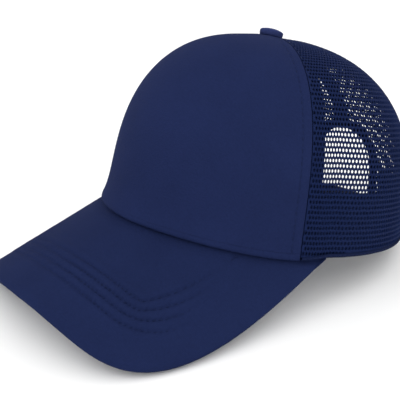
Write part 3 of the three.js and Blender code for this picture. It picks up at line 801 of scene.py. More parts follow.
def front_panel():
    rows = spaced((0, 0.06, 8), (0.06, 0.9, 84), (0.9, 1, 14))
    psi, e = front_columns(rows)
    s = lerp(FRONT_FOOT, meridian_length(psi) - FRONT_TOP_GAP, rows[None, :])
    slack = 0.10 * np.sin(psi * 7 + s / 17) * np.sin(s / 23 + 1.1) * smooth(e, 9, 30)
    pucker = 0.12 * hump(e, TOPSTITCH, 1.1) * np.sin(s * math.pi / FRONT_STITCH)
    outer = on_crown(psi, s, front_dip(e) + slack + pucker)
    down = unit(outer[:, 0] - outer[:, 1])
    roll = front_roll(psi[:, 0], outer[:, 0], down).transpose(1, 0, 2)
    outer = np.concatenate([roll, outer], axis=1)
    inner = outer - grid_normals(outer) * FRONT_CLOTH_THICKNESS
    flat_x = psi * np.interp(s, [0, 130], [RIM_HALF_WIDTH, 40]) / 10
    flat_y = s / 10
    count = roll.shape[1]
    roll_y = np.repeat(np.linspace(-0.5, 0, count, endpoint=False)[None], len(psi), 0)
    roll_x = np.repeat(flat_x[:, :1], count, 1)
    uv = cloth_uv(np.concatenate([roll_x, flat_x], 1), np.concatenate([roll_y, flat_y], 1))
    piece = build("front_cover", shell(outer, inner), FRONT_CLOTH,
                  ["front_panel_fabric"], uv)
    return piece


def front_foam():
    u = spaced((0, 0.06, 8), (0.06, 0.94, 60), (0.94, 1, 8))
    v = spaced((0, 0.07, 8), (0.07, 1, 50))
    seam_s = lerp(FOAM_FOOT, meridian_length(FRONT_SEAM) - FOAM_TOP_GAP, v)
    reach = FRONT_SEAM - 7.8 / radius_at(np.full_like(seam_s, FRONT_SEAM), seam_s)
    psi = lerp(-reach, reach, u[:, None])
    s = lerp(FOAM_FOOT, meridian_length(psi) - FOAM_TOP_GAP, v[None, :])
    full = foam_edge(u, v, 110, 110, 2.6, 0.02)
    ripple = 0.18 * np.sin(psi * 9 + s / 11) * np.sin(s / 9)
    middle, half = sum(FOAM) / 2, (FOAM[0] - FOAM[1]) / 2
    outer = on_crown(psi, s, middle + half * full)
    inner = on_crown(psi, s, middle - (half + ripple) * full)
    piece = build("front_foam", shell(outer, inner), FOAM_LOOK, ["front_panel_foam"])
    return piece


def front_topstitch():
    s = np.linspace(2.4, meridian_length(FRONT_SEAM) - 8, 240)
    psi = beside(FRONT_SEAM, -(TOPSTITCH + SEAM_GAP), s)
    path = on_crown(psi, s, front_dip(TOPSTITCH) + 0.04)
    normals = normal_at(psi, s)
    left = stitches(path, normals)
    right = stitches(path * MIRROR, normals * MIRROR)
    return build("front_topstitching", join(left, right), THREAD)


# ---------------------------------------------------------------- open mesh panels

class FlatPattern:
    """The crown round one meridian laid flat: X along the parallels, Y up the meridian."""

    def __init__(self, middle):
        self.psi = middle + np.linspace(-0.8, 0.8, 161)
        self.shares = np.linspace(0, 1, 241)
        length = meridian_length(self.psi)
        self.length = float(meridian_length(middle))
        w = w_at(self.psi[:, None], self.shares[None] * length[:, None])
        line = crown_point(self.psi[:, None], w)
        x = run_of(line)
        self.x = x - x[len(self.psi) // 2]

    def flat(self, psi, s):
        share = s / meridian_length(psi)
        i = (psi - self.psi[0]) / (self.psi[1] - self.psi[0])
        x = bilinear(self.x, i, share * (len(self.shares) - 1))
        return np.stack([x, share * self.length], -1)

    def curved(self, flat):
        share = np.clip(flat[:, 1] / self.length, 0, 1)
        j = share * (len(self.shares) - 1)
        j0 = np.clip(np.floor(j).astype(int), 0, len(self.shares) - 2)
        rows = lerp(self.x[:, j0], self.x[:, j0 + 1], j - j0).T
        k = np.clip((rows < flat[:, :1]).sum(1) - 1, 0, len(self.psi) - 2)
        at = np.arange(len(flat))
        a, b = rows[at, k], rows[at, k + 1]
        part = np.clip((flat[:, 0] - a) / np.maximum(b - a, 1e-9), 0, 1)
        psi = lerp(self.psi[k], self.psi[k + 1], part)
        return psi, share * meridian_length(psi)


NET_SIDES = 12                        # corners of each cell and of its hole
NET_RIM = 0.4                         # least width between a hole and the panel's edge
NET_HOLED = 0.75                      # how far inside the edge a holed cell's middle is
NET_REACH = 0.15                      # how far inside a cell without a hole reaches
NET_WELD = 25                         # steps per millimetre in which corners are matched
NET_SLIVER = 0.004                    # faces smaller than this are left out
NET_HALF_HOLE, NET_HALF_STRAND = 0.15, 0.44   # half thickness at a hole and between holes
NET_DEPTH = -0.52
NET_EDGE_DIP = 0.14


def outline_distance(points, outline):
    """Distance inside a closed outline (negative outside), and the nearest point of it."""
    a, b = outline, np.roll(outline, -1, axis=0)
    distance, nearest = np.empty(len(points)), np.empty_like(points)
    for first in range(0, len(points), 2000):
        p = points[first:first + 2000, None]
        share = np.clip(((p - a) * (b - a)).sum(-1) / ((b - a) ** 2).sum(-1), 0, 1)
        foot = a + (b - a) * share[..., None]
        away = np.linalg.norm(p - foot, axis=-1)
        best = away.argmin(1)
        rows = np.arange(len(best))
        crosses = (a[:, 1] > p[..., 1]) != (b[:, 1] > p[..., 1])
        rise = np.where(b[:, 1] == a[:, 1], 1, b[:, 1] - a[:, 1])
        at = a[:, 0] + (p[..., 1] - a[:, 1]) / rise * (b[:, 0] - a[:, 0])
        inside = (crosses & (p[..., 0] < at)).sum(1) % 2 == 1
        distance[first:first + 2000] = np.where(inside, 1, -1) * away[rows, best]
        nearest[first:first + 2000] = foot[rows, best]
    return distance, nearest


def polygon_area(outline):
    x, y = outline.T
    return abs((x * np.roll(y, -1) - y * np.roll(x, -1)).sum()) / 2


def hexagon_net(outline):
    """Flat net of hexagon cells with round holes inside an outline: points, faces, kinds."""
    low, high = outline.min(0), outline.max(0)
    i, j = indices(int((high[0] - low[0]) / MESH_PITCH) + 3, int((high[1] - low[1]) / MESH_ROW) + 3)
    across = low[0] - 0.8 * MESH_PITCH + (i + 0.5 * (j % 2)) * MESH_PITCH
    centre = np.stack([across, low[1] - 0.6 + j * MESH_ROW], -1)
    centre = centre.reshape(-1, 2)
    turn = np.radians(np.arange(0, 360, 360 // NET_SIDES))
    away = np.where(np.arange(NET_SIDES) % 2 == 0, MESH_PITCH / 2, MESH_PITCH / math.sqrt(3))
    compass = np.stack([np.cos(turn), np.sin(turn)], -1)
    cells = centre[:, None] + compass * away[:, None]
    rings = centre[:, None] + compass * np.array(MESH_HOLE)
    flat = np.concatenate([cells.reshape(-1, 2), rings.reshape(-1, 2)])
    inside, nearest = outline_distance(flat, outline)
    corners = len(cells) * NET_SIDES
    cell_inside = inside[:corners].reshape(-1, NET_SIDES).max(1)
    holed = outline_distance(centre, outline)[0] > NET_HOLED
    filled = ~holed & (cell_inside > NET_REACH)
    margin = np.where(np.arange(len(flat)) < corners, 0.0, NET_RIM)
    inward = unit(np.tile(np.repeat(centre, NET_SIDES, 0), (2, 1)) - nearest)
    clamped = np.where((inside < margin)[:, None], nearest + inward * margin[:, None], flat)
    key = np.round(clamped * NET_WELD).astype(int)
    key[corners:, 0] = 10 ** 6 + np.arange(corners)   # a hole's corners are never matched
    _, first, index = np.unique(key, axis=0, return_index=True, return_inverse=True)
    index = index.reshape(-1)
    cell_index = index[:corners].reshape(-1, NET_SIDES)
    ring_index = index[corners:].reshape(-1, NET_SIDES)
    polygons = []
    for n in np.flatnonzero(filled):
        polygons.append([a for a, b in zip(cell_index[n], np.roll(cell_index[n], -1)) if a != b])
    for n in np.flatnonzero(holed):
        c, r = cell_index[n], ring_index[n]
        for a in range(NET_SIDES):
            b = (a + 1) % NET_SIDES
            polygons.append([c[a], c[b], r[b], r[a]] if c[a] != c[b] else [c[a], r[b], r[a]])
    place = clamped[first]
    polygons = [p for p in polygons
                if len(set(p)) == len(p) > 2 and polygon_area(place[p]) > NET_SLIVER]
    used, inverse = np.unique(np.concatenate(polygons), return_inverse=True)
    cuts = np.cumsum([len(p) for p in polygons])[:-1]
    renamed = np.split(inverse.reshape(-1), cuts)
    sizes = sorted({len(p) for p in renamed})
    faces = [np.array([p for p in renamed if len(p) == n]) for n in sizes]
    source = first[used]
    return clamped[source], faces, source >= corners, np.maximum(inside[source], 0)


def net_panel(pattern, outline, lay, unlay):
    """Solid net on the crown, with strands that are thicker along their middles."""
    net, faces, on_ring, inside = hexagon_net(unlay(outline))
    flat = lay(net)
    psi, s = pattern.curved(flat)
    half = np.where(on_ring, NET_HALF_HOLE, NET_HALF_STRAND)
    wobble = 0.05 * np.sin(flat[:, 0] * 1.7 + np.sin(flat[:, 1] * 0.9) * 2)
    middle = NET_DEPTH + wobble - NET_EDGE_DIP * hump(inside, 0, 1.2)
    outer = on_crown(psi, s, middle + half)
    inner = on_crown(psi, s, middle - half)
    return thicken(outer, inner, faces), twice(flat / 10)


def seam_line(seam, gap, foot):
    s = np.linspace(foot, float(meridian_length(seam)) - BUTTON_HOLE_RADIUS - 1.4, 90)
    return beside(seam, gap, s), s


def net_layout(seam_x, seam_y, squeezed):
    """How a net lies on its flat pattern: from the net to the pattern, and back again."""
    away = np.linspace(-400, 400, 1601)
    narrow = lerp(MESH_SQUEEZE, 1, smooth(away, 10, 25)) if squeezed else np.ones_like(away)
    run = np.concatenate([[0], np.cumsum(np.diff(away) * 2 / (narrow[1:] + narrow[:-1]))])
    run -= np.interp(0, away, run)
    cos, sin = math.cos(MESH_TILT), math.sin(MESH_TILT)

    def lay(net):
        across = net[:, 0] * cos + net[:, 1] * sin
        y = (net[:, 1] * cos - net[:, 0] * sin) * MESH_TALL
        return np.stack([np.interp(across, run, away) + np.interp(y, seam_y, seam_x), y], -1)

    def unlay(flat):
        across = np.interp(flat[:, 0] - np.interp(flat[:, 1], seam_y, seam_x), away, run)
        y = flat[:, 1] / MESH_TALL
        return np.stack([across * cos - y * sin, y * cos + across * sin], -1)

    return lay, unlay


def mesh_pair(name, pattern, outline, layout, nodes, hems=(None, None)):
    """A mesh panel and its mirror image."""
    shape, uv = net_panel(pattern, outline, *layout)
    for side, mirror, node, hem in zip(("left", "right"), (1, MIRROR), nodes, hems):
        piece = build(f"{name}_{side}", (shape[0] * mirror, shape[1]), MESH_FIBRE,
                      [node], uv, sharp=75)


MESH_FOOT = 1.0


def side_mesh():
    pattern = FlatPattern((FRONT_SEAM + SIDE_SEAM) / 2)
    a, sa = seam_line(FRONT_SEAM, SEAM_GAP, MESH_FOOT)
    b, sb = seam_line(SIDE_SEAM, -SEAM_GAP, MESH_FOOT)
    foot = np.linspace(a[0], b[0], 40)[1:-1]
    outline = np.concatenate([
        pattern.flat(foot, np.full_like(foot, MESH_FOOT)),
        pattern.flat(b, sb), pattern.flat(a, sa)[::-1]])
    seam = pattern.flat(a, sa)
    mesh_pair("side_mesh", pattern, outline, net_layout(seam[:, 0], seam[:, 1], True),
              ["side_mesh_panel_left", "side_mesh_panel_right"])


def arch_line(grow, count):
    """Outline of the rear arch seen from behind, from its foot to its top: x, z."""
    radius = ARCH_HALF_WIDTH + grow
    spring = ARCH_TOP - ARCH_HALF_WIDTH
    straight = spring - BINDING_FOOT
    run = np.linspace(0, straight + radius * math.pi / 2, count)
    turn = np.clip((run - straight) / radius, 0, math.pi / 2)
    z = np.where(run < straight, BINDING_FOOT + run, spring + radius * np.sin(turn))
    return radius * np.cos(turn), z


def back_mesh(hems):
    pattern = FlatPattern((SIDE_SEAM + BACK_SEAM) / 2)
    a, sa = seam_line(SIDE_SEAM, SEAM_GAP, MESH_FOOT)
    b, sb = seam_line(BACK_SEAM, -SEAM_GAP, MESH_FOOT)
    x, z = arch_line(ARCH_PANEL_EDGE, 80)
    arch_psi, arch_s = from_behind(np.maximum(x, SEAM_GAP), z)
    above = sb > arch_s[-1] + 0.5
    foot = np.linspace(a[0], arch_psi[0], 30)[1:-1]
    outline = np.concatenate([
        pattern.flat(foot, np.full_like(foot, MESH_FOOT)),
        pattern.flat(arch_psi, arch_s),
        pattern.flat(b[above], sb[above]), pattern.flat(a, sa)[::-1]])
    mesh_pair("back_mesh", pattern, outline, net_layout([0, 0], [0, 1], False),
              ["back_mesh_panel_left", "back_mesh_panel_right"], hems)


# ---------------------------------------------------------------- tapes, hems, binding

def tape_grid(seam, foot):
    across = spaced((-7, -6.5, 2), (-6.5, -5, 3), (-5, -4, 4), (-4, 4, 8), (4, 5, 4), (5, 6.5, 3),
                    (6.5, 7, 2))
    s = np.linspace(foot, float(meridian_length(seam)) - 12.5, 110)
    narrow = lerp(1, 0.86, smooth(s, s[-1] - 12, s[-1]))
    psi = beside(seam, across[:, None] * narrow, s[None])
    press = -0.12 * (hump(across, -4.5, 0.35) + hump(across, 4.5, 0.35))
    thin = 0.4 * (1 - 0.75 * (1 - smooth(7 - np.abs(across), 0, 0.5)))
    pucker = 0.06 * np.sin(s / 1.6)[None] * (0.3 + np.abs(across / 7))[:, None]
    middle = sum(TAPE) / 2
    outer = on_crown(psi, s[None], middle + (thin + press)[:, None])
    inner = on_crown(psi, s[None], middle - (thin + press)[:, None] + pucker)
    return outer, inner, cloth_uv(across[:, None] / 10, s[None] / 10)


def tape_threads(seam, foot):
    """Two rows of stitches on the inside of a tape."""
    s = np.linspace(foot + 1, float(meridian_length(seam)) - 13.5, 200)
    rows = []
    for offset in (-4.5, 4.5):
        psi = beside(seam, np.full_like(s, offset), s)
        rows.append(stitches(on_crown(psi, s, TAPE[1] + 0.05), -normal_at(psi, s),
                             pitch=3.4))
    return join(*rows)


def seam_tape(name, seam, foot, node, mirror=1):
    outer, inner, uv = tape_grid(seam, foot)
    piece = build(name, shell(outer * mirror, inner * mirror), SEAM_TAPE_CLOTH, [node],
                  uv)
    points, faces = tape_threads(seam, foot)
    threads = build(f"{name}_stitching", (points * mirror, faces), THREAD)


def tapes():
    for side, mirror in (("left", 1), ("right", MIRROR)):
        seam_tape(f"front_seam_tape_{side}", FRONT_SEAM, 2.0, f"seam_tape_front_{side}", mirror)
        seam_tape(f"side_seam_tape_{side}", SIDE_SEAM, 2.0, f"seam_tape_side_{side}", mirror)
    _, arch_s = from_behind(0.01, ARCH_TOP + BINDING_WIDTH - 1.5)
    seam_tape("back_seam_tape", BACK_SEAM, float(arch_s), "seam_tape_back")


def rim_path(start, end, count):
    """Foot of the crown from psi to psi: points, outward and upward directions."""
    psi = np.linspace(start, end, count)
    p = crown_point(psi, 0.0)[:, :2]
    along = crown_point(psi + 0.002, 0.0)[:, :2] - crown_point(psi - 0.002, 0.0)[:, :2]
    out = unit(np.stack([along[:, 1], -along[:, 0]], -1))
    flat = np.zeros((count, 1))
    z = crown_point(psi, 0.0)[:, 2:] - 1.1 * (1 - smooth(psi, start, VISOR_END))[:, None]
    return np.hstack([p, z]), np.hstack([out, flat]), np.tile([0.0, 0.0, 1.0], (count, 1))


def rim_hems():
    """Narrow tape folded round the foot of the mesh, and its stitches."""
    fold = rounded([(0.15, 2.3), (0.15, 0.25), (-2.15, 0.25), (-2.15, 2.3)], 0.9, 6)
    start = FRONT_SEAM + math.radians(0.3)
    end = float(back_psi(ARCH_HALF_WIDTH + BINDING_WIDTH + 0.2))
    points, out, up = rim_path(start, end, 260)
    shape = sweep(ribbon(fold, 0.5), points, out, up)
    thread = stitches(points + out * 0.40 + up * 1.35, out, pitch=3.0, radius=0.2)
    pieces = []
    for side, mirror in (("left", 1), ("right", MIRROR)):
        hem = build(f"rim_hem_fold_{side}", (shape[0] * mirror, shape[1]), TAPE_CLOTH,
                    [f"rim_hem_{side}"], hem_uv(len(points), len(fold) * 2))
        build(f"rim_hem_stitching_{side}", (thread[0] * mirror, thread[1]), THREAD)
        pieces.append(hem)
    return pieces


def hem_uv(steps, sides, width=0.7, step=0.1):
    """Flat coordinates of a swept strip."""
    around = np.abs(np.linspace(-1, 1, sides)) * width
    along = np.arange(steps) * step
    return np.stack(np.broadcast_arrays(around[None], along[:, None]), -1).reshape(-1, 2)


def arch_frames(count):
    """Points round the arch's edge with directions away from the opening and outward."""
    x, z = arch_line(0, count)
    away_x, away_z = arch_line(1, count)
    psi, s = from_behind(np.maximum(x, 0.001), z)
    points = on_crown(psi, s, 0.0)
    normal = normal_at(psi, s)
    away = np.stack([away_x - x, np.zeros(count), away_z - z], -1)
    away[0, 2] = 0
    away = unit(away - (away * normal).sum(-1, keepdims=True) * normal)
    for rows in (points, normal, away):
        rows[-1, 0] = 0
    other = slice(-2, None, -1)
    return [np.concatenate([a, a[other] * MIRROR]) for a in (points, unit(away), unit(normal))]


def arch_binding():
    fold = rounded([(6.5, 0.42), (5.4, 0.36), (3.2, 0.95), (0.35, 1.0), (0.35, -2.0), (3.2, -1.95),
                    (5.4, -1.38), (6.5, -1.42)], 1.3, 6)
    points, away, normal = arch_frames(110)
    section = ribbon(fold, 0.6)
    piece = build("arch_edge_binding", sweep(section, points, away, normal), TAPE_CLOTH,
                  ["arch_binding"], hem_uv(len(points), len(section), 1.5, 0.08))
    rows = [stitches(points + away * 5.3 + normal * 0.72, normal, pitch=3.0),
            stitches(points + away * 5.3 - normal * 1.74, -normal, pitch=3.0)]
    threads = build("arch_binding_stitching", join(*rows), THREAD)


# ---------------------------------------------------------------- sweatband, pad and label

def band_depth(psi):
    share = smooth(np.abs(psi), math.radians(57), math.radians(78))
    return -lerp(SWEATBAND_FRONT_DEPTH, SWEATBAND_SIDE_DEPTH, share)


def sweatband():
    end = float(back_psi(SWEATBAND_HALF_GAP))
    psi = np.linspace(-end, end, 420)[:, None]
    v = spaced((0, 0.1, 5), (0.1, 0.8, 12), (0.8, 1, 12))[None]
    foot = lerp(0.3, 3.6, smooth(np.cos(psi), 0.5, 1))
    s = lerp(foot, SWEATBAND_HEIGHT, v)
    below_top = SWEATBAND_HEIGHT - s
    above_foot = s - foot
    edge = np.minimum(below_top, above_foot)
    plump = 0.5 + 0.22 * hump(below_top, 0.9, 0.8) + 0.15 * hump(above_foot, 0.9, 0.8)
    plump = plump * np.sqrt(np.clip(edge / 0.7, 0.06, 1)) - 0.13 * hump(below_top, 2.4, 0.45)
    wave = 0.22 * np.sin(psi * 23) * smooth(s, 4, 18) + 0.12 * np.sin(psi * 51 + s / 3)
    middle = band_depth(psi) - SWEATBAND_THICKNESS / 2
    outer = on_crown(psi, s, middle + plump)
    inner = on_crown(psi, s, middle - plump + wave * 0.5)
    piece = build("sweatband_cover", shell(outer, inner), BAND_CLOTH_PAINTED_LIGHT,
                  ["sweatband"], cloth_uv(psi * 9.3, s / 10))
    line = np.linspace(-end + 0.02, end - 0.02, 900)
    stitch_s = np.full_like(line, SWEATBAND_HEIGHT - 2.4)
    normal = normal_at(line, stitch_s)
    depth = band_depth(line) - SWEATBAND_THICKNESS / 2
    rows = [stitches(on_crown(line, stitch_s, depth - 0.42), -normal, pitch=3.2),
            stitches(on_crown(line, stitch_s, depth + 0.42), normal, pitch=3.2)]
    threads = build("sweatband_stitching", join(*rows), THREAD)


PAD_REACH = math.radians(50)
PAD_FOOT, PAD_TOP = 8.0, 30.0
LABEL_FOOT, LABEL_HEIGHT = 5, 20
LABEL_ENDS = (100, 109)               # degrees round the head


def sweatband_pad():
    u, v = spaced((0, 0.03, 6), (0.03, 0.97, 90), (0.97, 1, 6)), spaced((0, 1, 24))
    psi = lerp(-PAD_REACH, PAD_REACH, u)[:, None]
    s = lerp(PAD_FOOT, PAD_TOP, v)[None]
    full = foam_edge(u, v, 160, PAD_TOP - PAD_FOOT, 2.5, 0.03)
    middle, half = sum(PAD) / 2, (PAD[0] - PAD[1]) / 2
    shape = shell(on_crown(psi, s, middle + half * full), on_crown(psi, s, middle - half * full))
    piece = build("forehead_pad", shape, FOAM_LOOK, ["sweatband_pad"])


def care_label():
    """Blank label, sewn along its foot and curling a little at its free end."""
    psi = np.radians(np.linspace(*LABEL_ENDS, 25))[:, None]
    v = np.linspace(0, 1, 17)[None]
    s = LABEL_FOOT + LABEL_HEIGHT * v
    curl = -0.25 - 0.5 * v ** 3 + 0.12 * np.sin(psi * 60)
    outer = on_crown(psi, s, -4.45 + curl * 0.6)
    inner = on_crown(psi, s, -4.72 + curl * 0.6)
    piece = build("blank_label", shell(outer, inner), LABEL_CLOTH, ["care_label"],
                  cloth_uv(psi * 9.3, s / 10))


# ---------------------------------------------------------------- visor

VISOR_COVER = 0.6                     # thickness of its cloth
TOP_GROOVE, TOP_PUFF = 0.6, 0.6       # depth of the stitched grooves, height of the ridges
UNDER_GROOVE, UNDER_PUFF = 0.34, 0.2
UNDER_INSET = 4.7                     # from the visor's edge to the underside's turned edge
THREADS_REACH = 0.64                  # share of the visor's half width that is stitched


def visor_edge(t):
    """Half of the visor's outer edge in plan: a cubic from the middle to the corner."""
    t = np.asarray(t)[..., None]
    front = np.array([0, -RIM_HALF_LENGTH - VISOR_REACH])
    beside_front = np.array([VISOR_FRONT_PULL, front[1]])
    before_corner = CORNER + VISOR_CORNER_PULL * np.array(
        [math.sin(VISOR_SPREAD), -math.cos(VISOR_SPREAD)])
    return ((1 - t) ** 3 * front + 3 * t * (1 - t) ** 2 * beside_front
            + 3 * t * t * (1 - t) * before_corner + t ** 3 * CORNER)


def visor_line(side):
    """Root and tip of the visor in plan, for side from -1 to 1."""
    psi = side * VISOR_END
    root = rim_plan(psi) - 0.5 * rim_normal(psi)
    tip = visor_edge(np.abs(side))
    tip[..., 0] *= np.where(side < 0, -1, 1)
    trim = VISOR_TRIM * hump(np.abs(side), 0.2, 0.2)
    return root, tip + unit(root - tip) * trim[..., None]


def visor_lengths(side):
    """Length of the visor at each side, as a column, and how far its edge shrinks there."""
    root, tip = visor_line(side)
    length = np.linalg.norm(tip - root, axis=-1)[:, None]
    return length, np.clip(length / 14, 0.1, 1)


def on_visor(side, inset, depth):
    """Points of the visor at a distance inside its edge, moved along its normal by depth."""
    side, inset, depth = np.broadcast_arrays(side, inset, depth)
    root, tip = visor_line(side)
    length = np.linalg.norm(tip - root, axis=-1)
    share = np.clip(1 - inset / length, 0, 1)[..., None]
    p = root + (tip - root) * share
    x, y = p[..., 0], p[..., 1]
    step = 0.05
    slope_x = (visor_height(x + step, y) - visor_height(x - step, y)) / (2 * step)
    slope_y = (visor_height(x, y + step) - visor_height(x, y - step)) / (2 * step)
    normal = unit(np.stack([-slope_x, -slope_y, np.ones_like(x)], -1))
    return np.stack([x, y, visor_height(x, y)], -1) + normal * depth[..., None], normal


def edge_distance(points):
    """True distance of points on the visor from its outer edge."""
    side = np.linspace(-1, 1, 900)
    edge = on_visor(side, 0.0, 0.0)[0]
    flat = points.reshape(-1, 3)
    far = [np.linalg.norm(flat[k:k + 2000, None] - edge[None], axis=-1).min(1)
           for k in range(0, len(flat), 2000)]
    return np.concatenate(far).reshape(points.shape[:-1])


def groove_at(side, k):
    """Distance of the k-th stitched groove from the visor's edge."""
    away = np.abs(side)
    line = lerp(VISOR_STITCHES_FRONT[k], VISOR_STITCHES_SIDE[k], smooth(away, 0.2, 0.62))
    return line + 0.9 * hump(away, 0.41, 0.07)


def row_turns(side):
    """Angle that goes once round for each stitch along the visor's rows."""
    line = np.linspace(-1, 1, 801)
    run = run_of(on_visor(line, VISOR_STITCHES_FRONT[2], 0.0)[0])
    return np.interp(side, line, run) * 2 * math.pi / VISOR_STITCH


def visor_relief(side, distance, groove, puff):
    """Stitched grooves with soft ridges between them, fading near the visor's corners."""
    fade = (1 - smooth(np.abs(side), 0.42, 0.66)) * lerp(0.55, 1, smooth(side, -0.12, 0.12))
    lines = [groove_at(side, k) for k in range(4)]
    turns = row_turns(side)
    relief = np.zeros_like(distance)
    for k, line in enumerate(lines):
        pull = 1 + STITCH_PULL * np.cos(turns + 1.9 * k)
        relief = relief - groove * pull * hump(distance, line, 0.8)
    for k, (low, high) in enumerate(zip(lines, lines[1:])):
        share = np.clip((distance - low) / (high - low), 0, 1)
        pucker = 1 + STITCH_PULL * np.sin(turns / 1.7 + 2.3 * k) * np.cos(turns / 7.3 + k)
        relief = relief + puff * pucker * np.sin(math.pi * share) ** 0.8
    relief = relief + puff * 0.8 * hump(distance, lines[0] - 2.6, 1.9)
    relief = relief + puff * 0.8 * hump(distance, lines[3] + 2.8, 2.2)
    return relief * fade


def visor_rows(length, first, count_dense=70, count_rest=20, reach=41.0):
    """Distances inside the edge for each row of the visor, close together at the stitches."""
    last = np.minimum(reach, 0.75 * length)
    dense = lerp(first, last, np.linspace(0, 1, count_dense)[None])
    rest = lerp(last, length, np.linspace(0, 1, count_rest + 1)[None, 1:])
    return np.concatenate([dense, rest], axis=1)


# Columns of the visor's covers, which stop just short of its corners.
VISOR_SIDES = spaced((-1, -0.9, 28), (-0.9, -0.66, 38), (-0.66, 0.66, 290), (0.66, 0.9, 38),
                     (0.9, 1, 28)) * 0.996


def visor_top():
    side = VISOR_SIDES[:, None]
    length, scale = visor_lengths(VISOR_SIDES)
    edge_radius = VISOR_THICKNESS / 2
    turn = np.linspace(math.pi, 0, 15)[None]
    under = np.linspace(5.2, edge_radius, 5)[None, :-1]
    edge_rows = under.shape[1] + turn.shape[1]
    inset = np.concatenate([
        np.repeat(under, len(side), 0) * scale,
        edge_radius * (1 - np.sin(turn)) * scale,
        visor_rows(length, edge_radius * scale)[:, 1:]], axis=1)
    depth = np.concatenate([
        np.full(under.shape[1], -VISOR_THICKNESS), edge_radius * (np.cos(turn[0]) - 1),
        np.zeros(inset.shape[1] - edge_rows)])[None]
    base, normal = on_visor(side, inset, 0.0)
    relief = visor_relief(side, edge_distance(base), TOP_GROOVE, TOP_PUFF)
    beside_crown = 0.4 + 4.9 * np.cos(side * VISOR_END)
    relief = relief - ROOT_FOLD * hump(length - inset, beside_crown, 2.6)
    relief[:, :edge_rows] = 0
    round_edge = np.degrees(np.arccos(np.clip(depth / edge_radius + 1, -1, 1)))
    seam_dip = -0.35 * hump(round_edge, 118, 9)
    seam_dip[:, edge_rows:] = 0
    outer = base + normal * (depth + relief)[..., None]
    swell = grid_normals(outer)
    outer = outer + swell * seam_dip[..., None]
    inner = outer - grid_normals(outer) * VISOR_COVER
    uv = cloth_uv(base[..., 0] / 10, (base[..., 1] - inset * 0.02) / 10)
    piece = build("visor_top", shell(outer, inner), VISOR_CLOTH,
                  ["visor_top_cover"], uv)
    return piece, outer


def visor_bottom():
    side = VISOR_SIDES[:, None]
    length, scale = visor_lengths(VISOR_SIDES)
    inset = visor_rows(length, UNDER_INSET * scale)
    base, normal = on_visor(side, inset, 0.0)
    relief = visor_relief(side, edge_distance(base), UNDER_GROOVE, UNDER_PUFF)
    tuck = 0.45 * hump(inset / scale, UNDER_INSET, 0.6)
    outer = base + normal * (-VISOR_THICKNESS - relief + tuck)[..., None]
    inner = base + normal * (-VISOR_THICKNESS + 0.62)
    piece = build("visor_underside", shell(outer, inner), UNDERSIDE_CLOTH,
                  ["visor_bottom_cover"], cloth_uv(base[..., 0] / 10, base[..., 1] / 10))
    return piece, outer


def visor_slab(name, out, inner, inset, material, node):
    """Hidden layer inside the visor."""
    side = VISOR_SIDES[::2, None] * 0.985
    length, scale = visor_lengths(side[:, 0])
    rows = visor_rows(length, inset * scale, 30, 8)
    rows[:, -1] = length[:, 0] - 0.4 * scale[:, 0]
    shape = shell(on_visor(side, rows, out)[0], on_visor(side, rows, inner)[0])
    return build(name, shape, material, [node], sharp=40)


def visor_threads(name, direction, depth):
    """Four rows of stitches that lie in the visor's grooves, on one of its faces."""
    side = np.linspace(-THREADS_REACH, THREADS_REACH, 520)
    length, _ = visor_lengths(side)
    inset = visor_rows(length, 1.0, 200, 2, 44.0)
    distance = edge_distance(on_visor(side[:, None], inset, 0.0)[0])
    rows = []
    for k in range(4):
        line = groove_at(side, k)
        at = np.array([np.interp(g, d, r) for g, d, r in zip(line, distance, inset)])
        reached = (distance.max(1) > line + 0.5) & (line < length[:, 0] - 1)
        path, up = on_visor(side[reached], at[reached], depth)
        rows.append(stitches(path, up * direction, pitch=VISOR_STITCH, gap=0.7, radius=0.2,
                             lift=0.0))
    return build(name, join(*rows), THREAD)


def visor():
    top, top_grid = visor_top()
    visor_threads("visor_top_stitching", 1, -0.34)
    bottom, bottom_grid = visor_bottom()
    threads = visor_threads("visor_underside_stitching", -1, -VISOR_THICKNESS + 0.26)
    foam = visor_slab("visor_foam_sheet", -0.98, -1.8, 2.2, FOAM_LOOK, "visor_foam")
    visor_slab("visor_stiffener", -2.1, -3.7, 2.2, BOARD_PLASTIC, "visor_board")


# ---------------------------------------------------------------- closure straps

STRAP_HOLE = 2.3
STRAP_HOLE_RIM = 0.65
STRAP_TIP_ROUND = 3.2
STRAP_SEWN = (24.6, 33.6)             # sewn rectangle at each root: along x, then z
STRAP_SEWN_Z = (1.8, 7.8)
STRAP_X = np.linspace(-36, 36, 289)
STRAP_PSI = back_psi(STRAP_X)


def on_strap(x, z, depth):
    """Point at x from the middle of the back, z above the rim and depth outward."""
    psi = np.interp(x, STRAP_X, STRAP_PSI)
    p = rim_plan(psi) + rim_normal(psi) * np.asarray(depth)[..., None]
    return np.concatenate([p, np.asarray(z, float)[..., None]], -1)


def circle(x, radius):
    """Outline round the middle of the straps' height."""
    return [(x + radius * math.cos(a), STRAP_MIDDLE + radius * math.sin(a)) for a in turns_of(28)]


